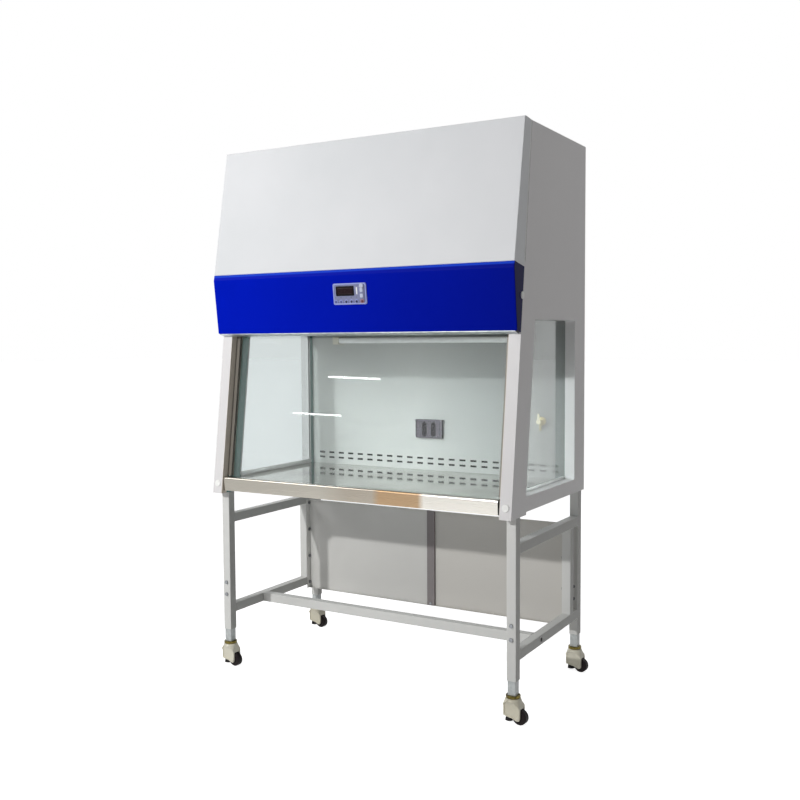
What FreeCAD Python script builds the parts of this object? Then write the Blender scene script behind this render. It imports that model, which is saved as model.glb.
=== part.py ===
import FreeCAD
import Part
import math
import os

# Vertical laminar flow cabinet on a stand with four levelling casters.
# Lengths are in millimetres. X runs to the right as seen from the front, Y to the back, Z up.
# The origin lies on the floor, below the middle of the cabinet.

# Cabinet body
cabinet_width = 1300.0
cabinet_depth = 720.0
wall_foot_height = 728.0
wall_top_height = 2075.0
front_lean = 175.0
wall_thickness = 45.0
toe_drop = 10.0
toe_depth = 130.0
sheet = 1.5

# Windows in the side walls
window_sill_height = 781.0
window_head_height = 1397.0
window_front_margin = 120.5
window_rear_margin = 112.0
window_corner_radius = 8.0
window_frame_width = 14.0
pane_thickness = 6.0
pane_lap = 8.0
gasket_edge = 2.0
gasket_floor = 1.0

# Front cover and valance, measured out from the line of the walls' front edges
cover_rise = 5.0
cover_proud_top = 58.0
cover_foot_height = 1587.0
cover_foot_proud = 84.0
cover_return_drop = 15.0
valance_bulge = 4.5
valance_bevel_height = 21.0
valance_foot_height = 1355.0
valance_foot_proud = 34.0
valance_return_drop = 9.0
valance_corner_radius = 8.0
bend_radius = 3.0

# Control plate on the valance
plate_width = 146.0
plate_height = 79.0
plate_offset_x = -5.5
plate_above_valance_foot = 103.0
plate_proud = 4.0
plate_corner_radius = 7.0
plate_box_margin = 8.0
plate_box_depth = 24.0
display_width = 76.0
display_height = 33.0
display_left_margin = 15.0
display_top_margin = 12.0
display_recess = 1.0
display_thickness = 2.0
key_radius = 7.0
key_rise = 0.8
key_edge_margin = 11.0
key_pitch = 22.7
key_column_margin = 20.0
key_column_pitch = 20.7
small_key_radius = 5.0
power_key_radius = 9.0
power_key_rise = 3.0
power_key_pocket = 3.4
power_key_travel = 1.5
power_key_chamfer = 1.0
power_key_floor_gap = 0.2
power_key_clearance = 0.3
power_key_top_margin = 11.0

# Sash, its guides and its balance
sash_setback = 35.0
sash_thickness = 6.0
sash_length = 606.0
sash_end_gap = 4.0
sash_foot_gap = 0.5
guide_depth = 18.0
guide_wall = 2.0
guide_side_gap = 1.0
guide_below_top = 29.0
carriage_width = 40.0
carriage_height = 55.0
carriage_lap = 30.0
carriage_thickness = 16.0
carriage_inset = 22.0
carriage_corner_radius = 3.0
shoe_play = 0.4
shoe_length = 22.0
cable_radius = 1.5
pulley_radius = 35.0
pulley_rim = 4.0
pulley_width = 14.0
pulley_rim_width = 2.0
pulley_below_top = 85.0
pulley_shaft_radius = 6.0
shaft_play = 0.06
bracket_thickness = 5.0
bracket_gap = 1.0
bracket_half_height = 20.0
weight_width = 60.0
weight_depth = 40.0
weight_height = 290.0
weight_below_top = 150.0
weight_corner_radius = 4.0

# Work chamber
work_height = 775.0
work_sheet = 2.0
nose_setback = 10.0
nose_top_height = 784.0
nose_foot_height = 730.0
nose_radius = 9.0
nose_depth = 26.0
nose_lip = 12.0
nose_right_gap = 9.0
nose_left_gap = 0.5
duct_depth = 80.0
slot_count = 23
slot_pitch = 50.5
slot_length = 28.0
slot_height = 8.0
slot_row_height = 802.0
slot_row_pitch = 22.0
nose_pan_gap = 1.0
base_rib_count = 3
base_rib_width = 40.0
pan_flange = 25.0

# Supply filter, plenum and blower
diffuser_height = 1396.0
diffuser_rows = 8
diffuser_columns = 12
diffuser_slot_length = 70.0
diffuser_slot_width = 10.0
filter_height = 70.0
filter_frame = 20.0
filter_gap = 2.0
pleat_count = 28
pleat_drop = 4.5
header_gap = 12.0
header_foot_height = 1352.0
header_rail_height = 16.0
header_rail_depth = 15.0
deck_below_top = 375.0
blower_width = 200.0
blower_wall = 2.0
blower_axle_height = 150.0
blower_axle_y = 70.0
scroll_start_radius = 112.0
scroll_end_radius = 155.0
scroll_start_angle = -50.0
scroll_steps = 14
inlet_radius = 85.0
impeller_radius = 100.0
impeller_width = 176.0
impeller_ring = 3.0
blade_count = 24
blade_depth = 16.0
blade_sheet = 1.5
blade_angle = 30.0
blade_tip_margin = 2.0
blower_shaft_radius = 10.0
motor_radius = 70.0
motor_length = 120.0
motor_gap = 12.0
motor_foot_width = 60.0
motor_foot_sheet = 6.0
motor_end_cap = 10.0
motor_foot_inset = 15.0
motor_web_half_width = 18.0
motor_bore_depth = 35.0
motor_shaft_reach = 30.0
fin_count = 10
fin_spread = 220.0
fin_height = 5.0
fin_width = 4.0
fin_root = 2.0

# Roof
roof_slot_rows = 4
roof_slot_columns = 14
roof_slot_length = 30.0
roof_slot_width = 10.0
roof_slot_pitch_x = 42.0
roof_slot_pitch_y = 24.0
prefilter_height = 20.0
prefilter_margin = 15.0
prefilter_frame = 12.0
prefilter_pad_inset = 4.0

# Lamps
tube_radius = 13.0
light_length = 1198.0
light_height = 1393.0
light_behind_valance = 22.0
light_tray_sheet = 2.0
holder_width = 14.0
holder_lap = 2.0
holder_wall = 2.0
uv_holder_wall = 3.0
holder_corner_radius = 4.0
uv_length = 895.0
uv_below_diffuser = 70.0
uv_from_wall = 30.0
uv_holder_width = 30.0
uv_holder_half_height = 17.0

# Services on the inner back wall
socket_width = 123.0
socket_height = 79.0
socket_depth = 14.0
socket_middle_height = 951.0
socket_corner_radius = 5.0
socket_port_count = 2
socket_port_pitch = 43.0
socket_port_width = 22.0
socket_port_height = 62.0
socket_port_depth = 6.0
socket_port_drop = 2.0
port_end_share = 0.45
lid_width = 115.0
lid_height = 72.0
lid_depth = 11.0
lid_wall = 2.0
lid_gap = 0.3
lid_pin_radius = 2.0
lid_barrel_wall = 2.0
lid_corner_radius = 4.0
lid_ear_width = 6.0
lid_ear_wall = 1.5
lid_axle_drop = 4.0
tap_x = 499.0
tap_height = 1001.0
tap_flange_radius = 18.0
tap_flange_thickness = 4.0
tap_body_radius = 9.0
tap_body_length = 34.0
tap_nozzle_radius = 4.0
tap_nozzle_length = 30.0
tap_nozzle_lap = 2.0
tap_barb_count = 3
tap_barb_pitch = 7.0
tap_barb_length = 5.0
tap_barb_rise = 1.2
tap_lever_length = 32.0
tap_lever_width = 8.0
tap_lever_thickness = 5.0
tap_spindle_radius = 3.0
tap_spindle_length = 6.0
tap_spindle_end_gap = 0.5
tap_lever_corner_radius = 3.5

# Outside fittings
side_cap_radius = 12.5
side_cap_rise = 4.0
side_cap_height = 1475.0
side_cap_before_seam = 6.0
cap_bevel = 1.5
front_cap_radius = 13.5
front_cap_rise = 3.0
front_cap_height = 758.0
inlet_x = -480.0
inlet_below_top = 175.0
inlet_width = 60.0
inlet_tall = 48.0
inlet_flange = 8.0
inlet_flange_thickness = 2.0
inlet_depth = 28.0
inlet_wall = 3.0
inlet_corner_radius = 4.0
inlet_pin_radius = 2.0
inlet_pin_length = 20.0
inlet_pin_pitch = 8.0
inlet_pin_raise = 5.0
inlet_pin_drop = 3.0

# Stand
tube_size = 36.0
tube_wall = 2.5
tube_corner_radius = 3.0
leg_side_inset = 3.0
front_leg_setback = 49.0
rear_leg_setback = 664.0
leg_foot_height = 151.0
lower_beam_height = 218.0
upper_beam_height = 590.0
post_setback = 580.0
cross_bar_setback = 264.0
access_hole_radius = 9.0
panel_setback = 608.5
panel_foot_height = 203.0
panel_top_height = 608.0
panel_flange = 26.0
panel_post_x = 20.0
panel_post_width = 34.0
panel_post_depth = 10.0
clamp_bolt_heights = (296.0, 345.0)
clamp_bolt_radius = 4.0
clamp_bolt_play = 0.05
panel_bolt_heights = (229.5, 349.0, 472.0, 592.5)
panel_bolt_setback = 599.0
bolt_head_radius = 7.5
bolt_head_height = 5.0
post_bolt_radius = 5.0
post_bolt_rise = 3.0
post_bolt_height = 212.0

# Telescopic inner legs and levelling casters
inner_leg_play = 0.3
inner_leg_wall = 2.0
inner_leg_corner_radius = 1.5
inner_leg_plate = 4.0
inner_leg_foot_height = 101.0
inner_leg_top_height = 420.0
ring_radius = 26.0
ring_height = 10.5
ring_gap = 0.3
ring_chamfer = 1.5
stem_radius = 6.0
stem_foot_height = 60.0
stem_end_gap = 1.0
hub_radius = 28.0
hub_foot_radius = 29.5
hub_foot_height = 60.0
hub_bevel = 4.0
housing_half_width = 20.0
housing_corner_radius = 10.0
housing_nose = 33.0
housing_nose_slant = 4.0
housing_nose_foot_height = 30.0
housing_nose_top_height = 52.0
housing_shoulder_height = 84.0
housing_tail = 46.0
housing_tail_height = 62.0
housing_side_slant = 3.0
housing_boss_radius = 15.0
housing_recess_front = 22.0
housing_recess_rear = 16.0
housing_recess_foot_height = 30.0
housing_recess_top_height = 55.0
housing_recess_radius = 5.0
housing_recess_depth = 1.5
wheel_pocket_gap = 2.5
pad_pocket_gap = 1.5
axle_cap_rise = 1.5
axle_cap_lap = 3.0
wheel_radius = 27.0
wheel_width = 26.0
wheel_gap = 1.0
wheel_edge = 3.5
wheel_trail = 28.0
trail_angle = -5.0
axle_radius = 4.0
pad_radius = 14.5
pad_lead = 15.0
pad_clearance = 8.0
pad_height = 12.0
pad_screw_radius = 5.0
pad_screw_top = 60.0
pad_screw_end_gap = 4.0
pad_taper = 2.0

# Places worked out from the sizes above
half_width = cabinet_width / 2
guide_top_height = wall_top_height - guide_below_top
pulley_axle_height = wall_top_height - pulley_below_top
weight_top_height = wall_top_height - weight_below_top
deck_height = wall_top_height - deck_below_top
inlet_height = wall_top_height - inlet_below_top
uv_height = diffuser_height - uv_below_diffuser
front_y = -cabinet_depth / 2
rear_y = cabinet_depth / 2
inner_x = half_width - wall_thickness
lean_run = front_lean / (wall_top_height - wall_foot_height)
lean_angle = math.degrees(math.atan(lean_run))
lean_sin = math.sin(math.radians(lean_angle))
lean_cos = math.cos(math.radians(lean_angle))
right = FreeCAD.Vector(1, 0, 0)
back = FreeCAD.Vector(0, 1, 0)
up = FreeCAD.Vector(0, 0, 1)


def point(x, y, z):
    return FreeCAD.Vector(x, y, z)


def slope_y(z, behind=0.0):
    """Y at height z of a plane that lies behind the walls' front line, square to it."""
    return front_y + (z - wall_foot_height) * lean_run + behind / lean_cos


def slope_s(z, behind=0.0):
    """Distance up the slope, from its foot, of a point at height z on such a plane."""
    return (z - wall_foot_height + behind * lean_sin) / lean_cos


def leaned(shape):
    """Turns a shape drawn upright at the slope's foot into the slope's own lean."""
    moved = shape.copy()
    moved.rotate(point(0, 0, 0), right, -lean_angle)
    moved.translate(point(0, front_y, wall_foot_height))
    return moved


def box(x0, x1, y0, y1, z0, z1):
    return Part.makeBox(x1 - x0, y1 - y0, z1 - z0, point(x0, y0, z0))


def rod(radius, start, direction, length):
    return Part.makeCylinder(radius, length, start, direction)


def face_from(points):
    return Part.Face(Part.makePolygon(points + [points[0]]))


def prism_x(outline, x0, x1):
    """Extrudes a (y, z) outline along X."""
    return face_from([point(x0, y, z) for y, z in outline]).extrude(right * (x1 - x0))


def prism_y(outline, y0, y1):
    """Extrudes an (x, z) outline along Y."""
    return face_from([point(x, y0, z) for x, z in outline]).extrude(back * (y1 - y0))


def inset(outline, distances):
    """Moves each edge of a convex outline, drawn anticlockwise, inwards by its own distance."""
    count = len(outline)
    lines = []
    for i in range(count):
        (ax, ay), (bx, by) = outline[i], outline[(i + 1) % count]
        length = math.hypot(bx - ax, by - ay)
        normal = (-(by - ay) / length, (bx - ax) / length)
        lines.append((normal, normal[0] * ax + normal[1] * ay + distances[i]))
    corners = []
    for i in range(count):
        (n0, c0), (n1, c1) = lines[i - 1], lines[i]
        det = n0[0] * n1[1] - n0[1] * n1[0]
        corners.append(((c0 * n1[1] - c1 * n0[1]) / det, (n0[0] * c1 - n1[0] * c0) / det))
    return corners


def grid(count, pitch):
    """Centres of a row that is spaced evenly about zero."""
    return [(i - (count - 1) / 2) * pitch for i in range(count)]


def fillet_along(shape, radius, wanted):
    """Rounds the edges that the test picks."""
    return shape.makeFillet(radius, [edge for edge in shape.Edges if wanted(edge)])


def runs_along(edge, direction):
    if len(edge.Vertexes) != 2:
        return False
    along = edge.Vertexes[1].Point - edge.Vertexes[0].Point
    return along.cross(direction).Length < 1e-6 * along.Length


def rounded_block(x0, x1, y0, y1, z0, z1, radius):
    """Block with its four edges along Y rounded."""
    return fillet_along(box(x0, x1, y0, y1, z0, z1), radius, lambda edge: runs_along(edge, back))


def mirrored(shape):
    return shape.mirror(point(0, 0, 0), right)


def save(node, *solids):
    shape = solids[0] if len(solids) == 1 else Part.makeCompound(list(solids))
    shape.exportStep("parts/" + node + ".step")


# Side walls

def wall_outline():
    toe_height = wall_foot_height - toe_drop
    toe_end = front_y + toe_depth
    return [
        (slope_y(toe_height), toe_height),
        (toe_end, toe_height),
        (toe_end, wall_foot_height),
        (rear_y, wall_foot_height),
        (rear_y, wall_top_height - sheet),
        (slope_y(wall_top_height - sheet), wall_top_height - sheet),
    ]


def wall_hollow():
    """Inside of a wall, open at the top, where the roof closes it."""
    floor = wall_foot_height + sheet
    ceiling = wall_top_height
    front_skin = sheet / lean_cos
    return [
        (slope_y(floor) + front_skin, floor),
        (rear_y - sheet, floor),
        (rear_y - sheet, ceiling),
        (slope_y(ceiling) + front_skin, ceiling),
    ]


def window_outline(grow=0.0):
    front_foot = slope_y(window_sill_height) + window_front_margin
    front_head = slope_y(window_head_height) + window_front_margin
    rear = rear_y - window_rear_margin
    corners = [
        (front_foot, window_sill_height),
        (rear, window_sill_height),
        (rear, window_head_height),
        (front_head, window_head_height),
    ]
    return inset(corners, [-grow] * 4)


def window_block(x0, x1, grow=0.0):
    block = prism_x(window_outline(grow), x0, x1)
    return fillet_along(block, window_corner_radius + grow, lambda edge: runs_along(edge, right))


def side_wall():
    rebate = pane_thickness + gasket_floor
    wall = prism_x(wall_outline(), inner_x, half_width)
    hollow = prism_x(wall_hollow(), inner_x + sheet, half_width - sheet)
    hollow = hollow.cut(window_block(inner_x, half_width, pane_lap + gasket_edge + window_frame_width))
    wall = wall.cut(hollow)
    wall = wall.cut(window_block(inner_x - 1, half_width + 1))
    return wall.cut(window_block(inner_x - 1, inner_x + rebate, pane_lap + gasket_edge))


def window_pane():
    return window_block(inner_x, inner_x + pane_thickness, pane_lap)


def window_gasket():
    outer = window_block(inner_x, inner_x + pane_thickness + gasket_floor, pane_lap + gasket_edge)
    outer = outer.cut(window_block(inner_x - 1, inner_x + pane_thickness + gasket_floor + 1))
    return outer.cut(window_pane())


# Front cover and valance

cover_outline = [
    (slope_y(cover_foot_height) - cover_foot_proud, cover_foot_height),
    (slope_y(cover_foot_height - cover_return_drop), cover_foot_height - cover_return_drop),
    (slope_y(wall_top_height), wall_top_height),
    (slope_y(wall_top_height) - cover_proud_top, wall_top_height + cover_rise),
]
valance_face_top = (cover_outline[0][0] - valance_bulge, cover_foot_height - valance_bevel_height)
valance_face_foot = (slope_y(valance_foot_height) - valance_foot_proud, valance_foot_height)
valance_seam_foot = valance_foot_height - valance_return_drop
valance_outline = [
    valance_face_foot,
    (slope_y(valance_seam_foot), valance_seam_foot),
    cover_outline[1],
    cover_outline[0],
    valance_face_top,
]
valance_run = (valance_face_foot[0] - valance_face_top[0]) / (valance_face_top[1] - valance_face_foot[1])
valance_angle = math.degrees(math.atan(valance_run))


def valance_y(z, behind=0.0):
    """Y of the valance's front face at height z, or of a plane that lies behind it."""
    drop = z - valance_foot_height
    return valance_face_foot[0] - drop * valance_run + behind / math.cos(math.radians(valance_angle))


def on_valance(shape):
    """Moves a shape drawn upright, with Y = 0 at the face and Z up from its foot, onto the valance."""
    moved = shape.copy()
    moved.rotate(point(0, 0, 0), right, valance_angle)
    moved.translate(point(0, valance_face_foot[0], valance_face_foot[1]))
    return moved


def proud_bend(edge):
    """True for a bend of a cover that stands proud of the walls: along its width or up its ends."""
    ends = [vertex.Point for vertex in edge.Vertexes]
    return len(ends) == 2 and all(p.y < slope_y(p.z) - sheet for p in ends)


def front_cover():
    block = prism_x(cover_outline, -half_width, half_width)
    block = fillet_along(block, bend_radius, proud_bend)
    behind = [sheet, -sheet, sheet, sheet]
    return block.cut(prism_x(inset(cover_outline, behind), -half_width + sheet, half_width - sheet))


def corner_waste():
    """What the valance's rounded lower right corner loses, drawn along the slope of its foot."""
    radius = valance_corner_radius
    reach = cabinet_depth / 2
    waste = box(half_width - radius, half_width + 1, -reach, reach, -1, radius)
    waste = waste.cut(rod(radius, point(half_width - radius, -reach, radius), back, 2 * reach))
    run = valance_outline[1][0] - valance_outline[0][0]
    waste.rotate(point(0, 0, 0), right, -math.degrees(math.atan(valance_return_drop / run)))
    waste.translate(point(0, valance_outline[0][0], valance_outline[0][1]))
    return waste


def valance():
    block = prism_x(valance_outline, -half_width, half_width)
    block = fillet_along(block, bend_radius, proud_bend)
    behind = [-sheet, -sheet, sheet, sheet, sheet]
    block = block.cut(prism_x(inset(valance_outline, behind), -half_width + sheet, half_width - sheet))
    block = block.cut(corner_waste()).cut(mirrored(corner_waste()))
    return block.cut(on_valance(plate_box(clearance=1.0)))


def plate_box(clearance=0.0):
    """Moulded box behind the control plate, which passes through the valance."""
    half = plate_width / 2 - plate_box_margin + clearance
    foot = plate_above_valance_foot + plate_box_margin - clearance
    top = plate_above_valance_foot + plate_height - plate_box_margin + clearance
    return box(plate_offset_x - half, plate_offset_x + half, -clearance, plate_box_depth, foot, top)


plate_left = plate_offset_x - plate_width / 2
plate_right = plate_offset_x + plate_width / 2
plate_top = plate_above_valance_foot + plate_height
power_key_x = plate_right - key_column_margin
power_key_z = plate_top - power_key_top_margin


def control_plate():
    plate = rounded_block(plate_left, plate_right, -plate_proud, 0,
                          plate_above_valance_foot, plate_top, plate_corner_radius)
    plate = plate.fuse(plate_box())
    recess = box(plate_left + display_left_margin, plate_left + display_left_margin + display_width,
                 -plate_proud - 1, -plate_proud + display_recess + display_thickness,
                 plate_top - display_top_margin - display_height, plate_top - display_top_margin)
    plate = plate.cut(recess)
    row_z = plate_above_valance_foot + key_edge_margin
    keys = [(plate_left + key_edge_margin + i * key_pitch, row_z, key_radius) for i in range(5)]
    keys += [(power_key_x, row_z + i * key_column_pitch, small_key_radius) for i in range(3)]
    for x, z, radius in keys:
        plate = plate.fuse(rod(radius, point(x, -plate_proud - key_rise, z), back, key_rise + 1))
    hole = power_key_radius + power_key_clearance
    plate = plate.cut(rod(hole, point(power_key_x, -plate_proud - 1, power_key_z), back,
                          power_key_pocket + 1))
    return on_valance(plate)


def display_window():
    left = plate_left + display_left_margin
    top = plate_top - display_top_margin
    face = -plate_proud + display_recess
    return on_valance(box(left, left + display_width, face, face + display_thickness,
                          top - display_height, top))


def power_button():
    """Round key; its inner end keeps the travel free behind it."""
    sunk = power_key_pocket - power_key_travel - power_key_floor_gap
    face = -plate_proud - power_key_rise
    key = rod(power_key_radius, point(power_key_x, face, power_key_z), back, power_key_rise + sunk)
    rim = [edge for edge in key.Edges if abs(edge.CenterOfMass.y - face) < 0.01 and len(edge.Vertexes) == 1]
    return on_valance(key.makeChamfer(power_key_chamfer, rim))


def light_tray():
    """Folded strip that closes the valance's foot and carries the lamp sockets."""
    front = valance_outline[0]
    seam = valance_outline[1]
    strip = [
        (front[0], front[1] - light_tray_sheet),
        (slope_y(seam[1] - light_tray_sheet), seam[1] - light_tray_sheet),
        seam,
        front,
    ]
    reach = half_width - valance_corner_radius
    return prism_x(strip, -reach, reach)


light_y = valance_y(light_height, light_behind_valance)


def light_tube():
    half = light_length / 2
    return rod(tube_radius, point(-half, light_y, light_height), right, light_length)


def tray_top(y):
    """Height of the light tray's upper side at depth y."""
    front = valance_outline[0]
    seam = valance_outline[1]
    return front[1] + (y - front[0]) * (seam[1] - front[1]) / (seam[0] - front[0])


def light_socket():
    half_depth = tube_radius + holder_wall
    near = light_y - half_depth
    far = light_y + half_depth
    top = light_height + tube_radius + holder_wall
    foot = [(near, tray_top(near)), (far, tray_top(far)), (far, top), (near, top)]
    inner = light_length / 2 - holder_lap
    socket = prism_x(foot, inner, inner + holder_width)
    return socket.cut(rod(tube_radius, point(0, light_y, light_height), right, light_length / 2))


# Work chamber

inner_back_y = rear_y - duct_depth
nose_y = front_y + nose_setback


def work_surface():
    """One folded stainless sheet: nose with a return lip, rolled top edge, dished deck."""
    t = work_sheet
    outer = [
        (nose_y, nose_foot_height),
        (nose_y + nose_lip, nose_foot_height),
        (nose_y + nose_lip, nose_foot_height + t),
        (nose_y + t, nose_foot_height + t),
        (nose_y + t, nose_top_height - t),
        (nose_y + nose_depth, nose_top_height - t),
        (nose_y + nose_depth + t, work_height - t),
        (inner_back_y - sheet, work_height - t),
        (inner_back_y - sheet, work_height),
        (nose_y + nose_depth + 2 * t, work_height),
        (nose_y + nose_depth + t, nose_top_height),
        (nose_y, nose_top_height),
    ]
    deck = prism_x(outer, -inner_x + nose_left_gap, inner_x - nose_right_gap)

    def nose_edge(edge, depth):
        middle = edge.CenterOfMass
        return (runs_along(edge, right) and abs(middle.y - nose_y - depth) < 0.01
                and abs(middle.z - nose_top_height + depth) < 0.01)

    deck = fillet_along(deck, nose_radius - t, lambda edge: nose_edge(edge, t))
    return fillet_along(deck, nose_radius, lambda edge: nose_edge(edge, 0))


def base_pan():
    """Tray that closes the cabinet below, with ribs that carry the work surface."""
    floor = wall_foot_height
    front = nose_y + nose_lip + nose_pan_gap
    pan = box(-inner_x, inner_x, front, rear_y, floor, floor + sheet)
    pan = pan.fuse(box(-inner_x, inner_x, front, front + sheet, floor, floor + pan_flange))
    rib_front = front + nose_depth
    rib_rear = inner_back_y - 2 * sheet
    rib_top = work_height - work_sheet
    for x in grid(base_rib_count, (2 * inner_x - base_rib_width) / (base_rib_count - 1)):
        outer = box(x - base_rib_width / 2, x + base_rib_width / 2, rib_front, rib_rear, floor, rib_top)
        inner = box(x - base_rib_width / 2 + sheet, x + base_rib_width / 2 - sheet,
                    rib_front - 1, rib_rear + 1, floor, rib_top - sheet)
        pan = pan.fuse(outer.cut(inner))
    return pan


def inner_back_wall():
    """Return-air wall: two rows of slots just above the work surface."""
    wall = box(-inner_x, inner_x, inner_back_y - sheet, inner_back_y,
               wall_foot_height + sheet, deck_height)
    slots = []
    for row in range(2):
        z = slot_row_height + row * slot_row_pitch
        for x in grid(slot_count, slot_pitch):
            slots.append(box(x - slot_length / 2, x + slot_length / 2, inner_back_y - sheet - 1,
                             inner_back_y + 1, z - slot_height / 2, z + slot_height / 2))
    return wall.cut(Part.makeCompound(slots))


def rear_panel():
    foot = wall_foot_height + sheet
    outer = box(-inner_x, inner_x, rear_y - pan_flange, rear_y, foot, wall_top_height - sheet)
    inner = box(-inner_x + sheet, inner_x - sheet, rear_y - pan_flange - 1, rear_y - sheet,
                foot - 1, wall_top_height)
    panel = outer.cut(inner)
    half = inlet_width / 2 - inlet_flange
    tall = inlet_tall / 2 - inlet_flange
    return panel.cut(box(inlet_x - half, inlet_x + half, rear_y - pan_flange, rear_y + 1,
                         inlet_height - tall, inlet_height + tall))


# Supply filter, plenum and blower

sash_middle = sash_setback + sash_thickness / 2
header_behind = sash_middle + guide_depth / 2 + header_gap - guide_wall


def plenum_box():
    """Header wall behind the sash with its stiffening rail, and the deck that carries the blower."""
    s_foot = slope_s(header_foot_height, header_behind)
    s_top = slope_s(deck_height, header_behind)
    wall = leaned(box(-inner_x, inner_x, header_behind, header_behind + sheet, s_foot, s_top))
    rail = leaned(box(-inner_x, inner_x, header_behind, header_behind + header_rail_depth,
                      s_foot, s_foot + header_rail_height))
    deck = box(-inner_x, inner_x, slope_y(deck_height, header_behind), inner_back_y,
               deck_height, deck_height + sheet)
    mouth = box(-blower_width / 2 + blower_wall, blower_width / 2 - blower_wall,
                blower_axle_y - scroll_end_radius + blower_wall,
                blower_axle_y + scroll_neck_y - blower_wall,
                deck_height - 1, deck_height + sheet + 1)
    return wall.fuse([rail, deck]).cut(mouth)


scroll_neck_y = scroll_start_radius * math.cos(math.radians(scroll_start_angle))
blower_axle_z = deck_height + sheet + blower_axle_height


def diffuser_plate():
    front = slope_y(diffuser_height + sheet, header_behind + sheet)
    rear = inner_back_y - sheet
    plate = box(-inner_x, inner_x, front, rear, diffuser_height, diffuser_height + sheet)
    pitch_x = 2 * inner_x / (diffuser_columns + 0.5)
    pitch_y = (rear - front) / (diffuser_rows + 0.5)
    slots = []
    for x in grid(diffuser_columns, pitch_x):
        for y in grid(diffuser_rows, pitch_y):
            middle = (front + rear) / 2 + y
            slots.append(box(x - diffuser_slot_length / 2, x + diffuser_slot_length / 2,
                             middle - diffuser_slot_width / 2, middle + diffuser_slot_width / 2,
                             diffuser_height - 1, diffuser_height + sheet + 1))
    return plate.cut(Part.makeCompound(slots))


def hepa_filter():
    """Filter frame and its folded pack, glued in between the frame's long sides."""
    foot = diffuser_height + sheet
    top = foot + filter_height
    front = slope_y(top, header_behind + sheet) + filter_gap
    rear = inner_back_y - sheet - filter_gap
    side = inner_x - filter_gap
    frame = box(-side, side, front, rear, foot, top)
    frame = frame.cut(box(-side + filter_frame, side - filter_frame, front + filter_frame,
                          rear - filter_frame, foot - 1, top + 1))
    pitch = (2 * side - 2 * filter_frame) / pleat_count
    high = top - filter_gap
    low = foot + filter_gap + pleat_drop
    upper = [(-side + filter_frame, low)]
    for i in range(pleat_count):
        x = -side + filter_frame + i * pitch
        upper.append((x + pitch / 2, high))
        upper.append((x + pitch, low))
    lower = [(x, z - pleat_drop) for x, z in reversed(upper)]
    pack = prism_y(upper + lower, front + filter_frame, rear - filter_frame)
    return frame, pack


def scroll_outline(grow):
    """Outline of the scroll: a spiral of flats from the tongue over the top, then down to the deck."""
    points = []
    for i in range(scroll_steps + 1):
        share = i / scroll_steps
        angle = math.radians(scroll_start_angle + (180 - scroll_start_angle) * share)
        radius = scroll_start_radius + (scroll_end_radius - scroll_start_radius) * share + grow
        points.append(point(0, radius * math.cos(angle), radius * math.sin(angle)))
    foot_left = point(0, points[-1].y, -blower_axle_height)
    foot_right = point(0, points[0].y, -blower_axle_height)
    return face_from(points + [foot_left, foot_right])


def at_blower(shape, x0):
    moved = shape.copy()
    moved.translate(point(x0, blower_axle_y, blower_axle_z))
    return moved


def blower_housing():
    width = blower_width
    outer = at_blower(scroll_outline(0).extrude(right * width), -width / 2)
    inner = at_blower(scroll_outline(-blower_wall).extrude(right * (width - 2 * blower_wall)),
                      -width / 2 + blower_wall)
    below = box(-width / 2 + blower_wall, width / 2 - blower_wall,
                blower_axle_y - scroll_end_radius + blower_wall,
                blower_axle_y + scroll_neck_y - blower_wall,
                blower_axle_z - blower_axle_height - 1, blower_axle_z - scroll_start_radius)
    inlets = rod(inlet_radius, point(-width / 2 - 1, blower_axle_y, blower_axle_z), right, width + 2)
    return outer.cut(inner.fuse(below)).cut(inlets)


def impeller():
    """Forward-curved drum: a middle disc, two end rings and a ring of blades on one shaft."""
    axle = point(0, blower_axle_y, blower_axle_z)
    half = impeller_width / 2
    motor_end = blower_width / 2 + motor_gap + motor_shaft_reach
    shaft = rod(blower_shaft_radius, axle - right * half, right, half + motor_end)
    disc = rod(impeller_radius, axle - right * impeller_ring / 2, right, impeller_ring)
    drum = disc.fuse(shaft)
    for side in (-1, 1):
        start = side * half - (impeller_ring if side > 0 else 0)
        ring = rod(impeller_radius, axle + right * start, right, impeller_ring)
        bore = rod(impeller_radius - blade_depth, axle + right * start, right, impeller_ring)
        drum = drum.fuse(ring.cut(bore))
    blade = box(-half, half, impeller_radius - blade_depth + blade_tip_margin / 2,
                impeller_radius - blade_tip_margin, -blade_sheet / 2, blade_sheet / 2)
    blade.rotate(point(0, impeller_radius - blade_depth / 2, 0), right, blade_angle)
    blades = []
    for i in range(blade_count):
        turned = blade.copy()
        turned.rotate(point(0, 0, 0), right, 360 * i / blade_count)
        blades.append(at_blower(turned, 0))
    return drum.fuse(blades)


def blower_motor():
    """Finned motor on a folded foot, with the bore that the drum's shaft turns in."""
    start = blower_width / 2 + motor_gap
    axle = point(start, blower_axle_y, blower_axle_z)
    end = start + motor_length
    body = rod(motor_radius, axle, right, motor_length)
    for turn in grid(fin_count, fin_spread / (fin_count - 1)):
        fin = box(start + motor_end_cap, end - motor_end_cap, -fin_width / 2, fin_width / 2,
                  motor_radius - fin_root, motor_radius + fin_height)
        fin.rotate(point(0, 0, 0), right, turn)
        fin.translate(point(0, blower_axle_y, blower_axle_z))
        body = body.fuse(fin)
    deck_top = deck_height + sheet
    foot = box(start + motor_foot_inset, end - motor_foot_inset, blower_axle_y - motor_foot_width,
               blower_axle_y + motor_foot_width, deck_top, deck_top + motor_foot_sheet)
    web = box(start + motor_foot_inset, end - motor_foot_inset, blower_axle_y - motor_web_half_width,
              blower_axle_y + motor_web_half_width, deck_top, blower_axle_z - motor_radius / 2)
    bore = rod(blower_shaft_radius + shaft_play, axle - right, right, motor_bore_depth + 1)
    return body.fuse([foot, web]).cut(bore)


# Roof

def roof_middle_y():
    return (slope_y(wall_top_height) + rear_y) / 2


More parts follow.
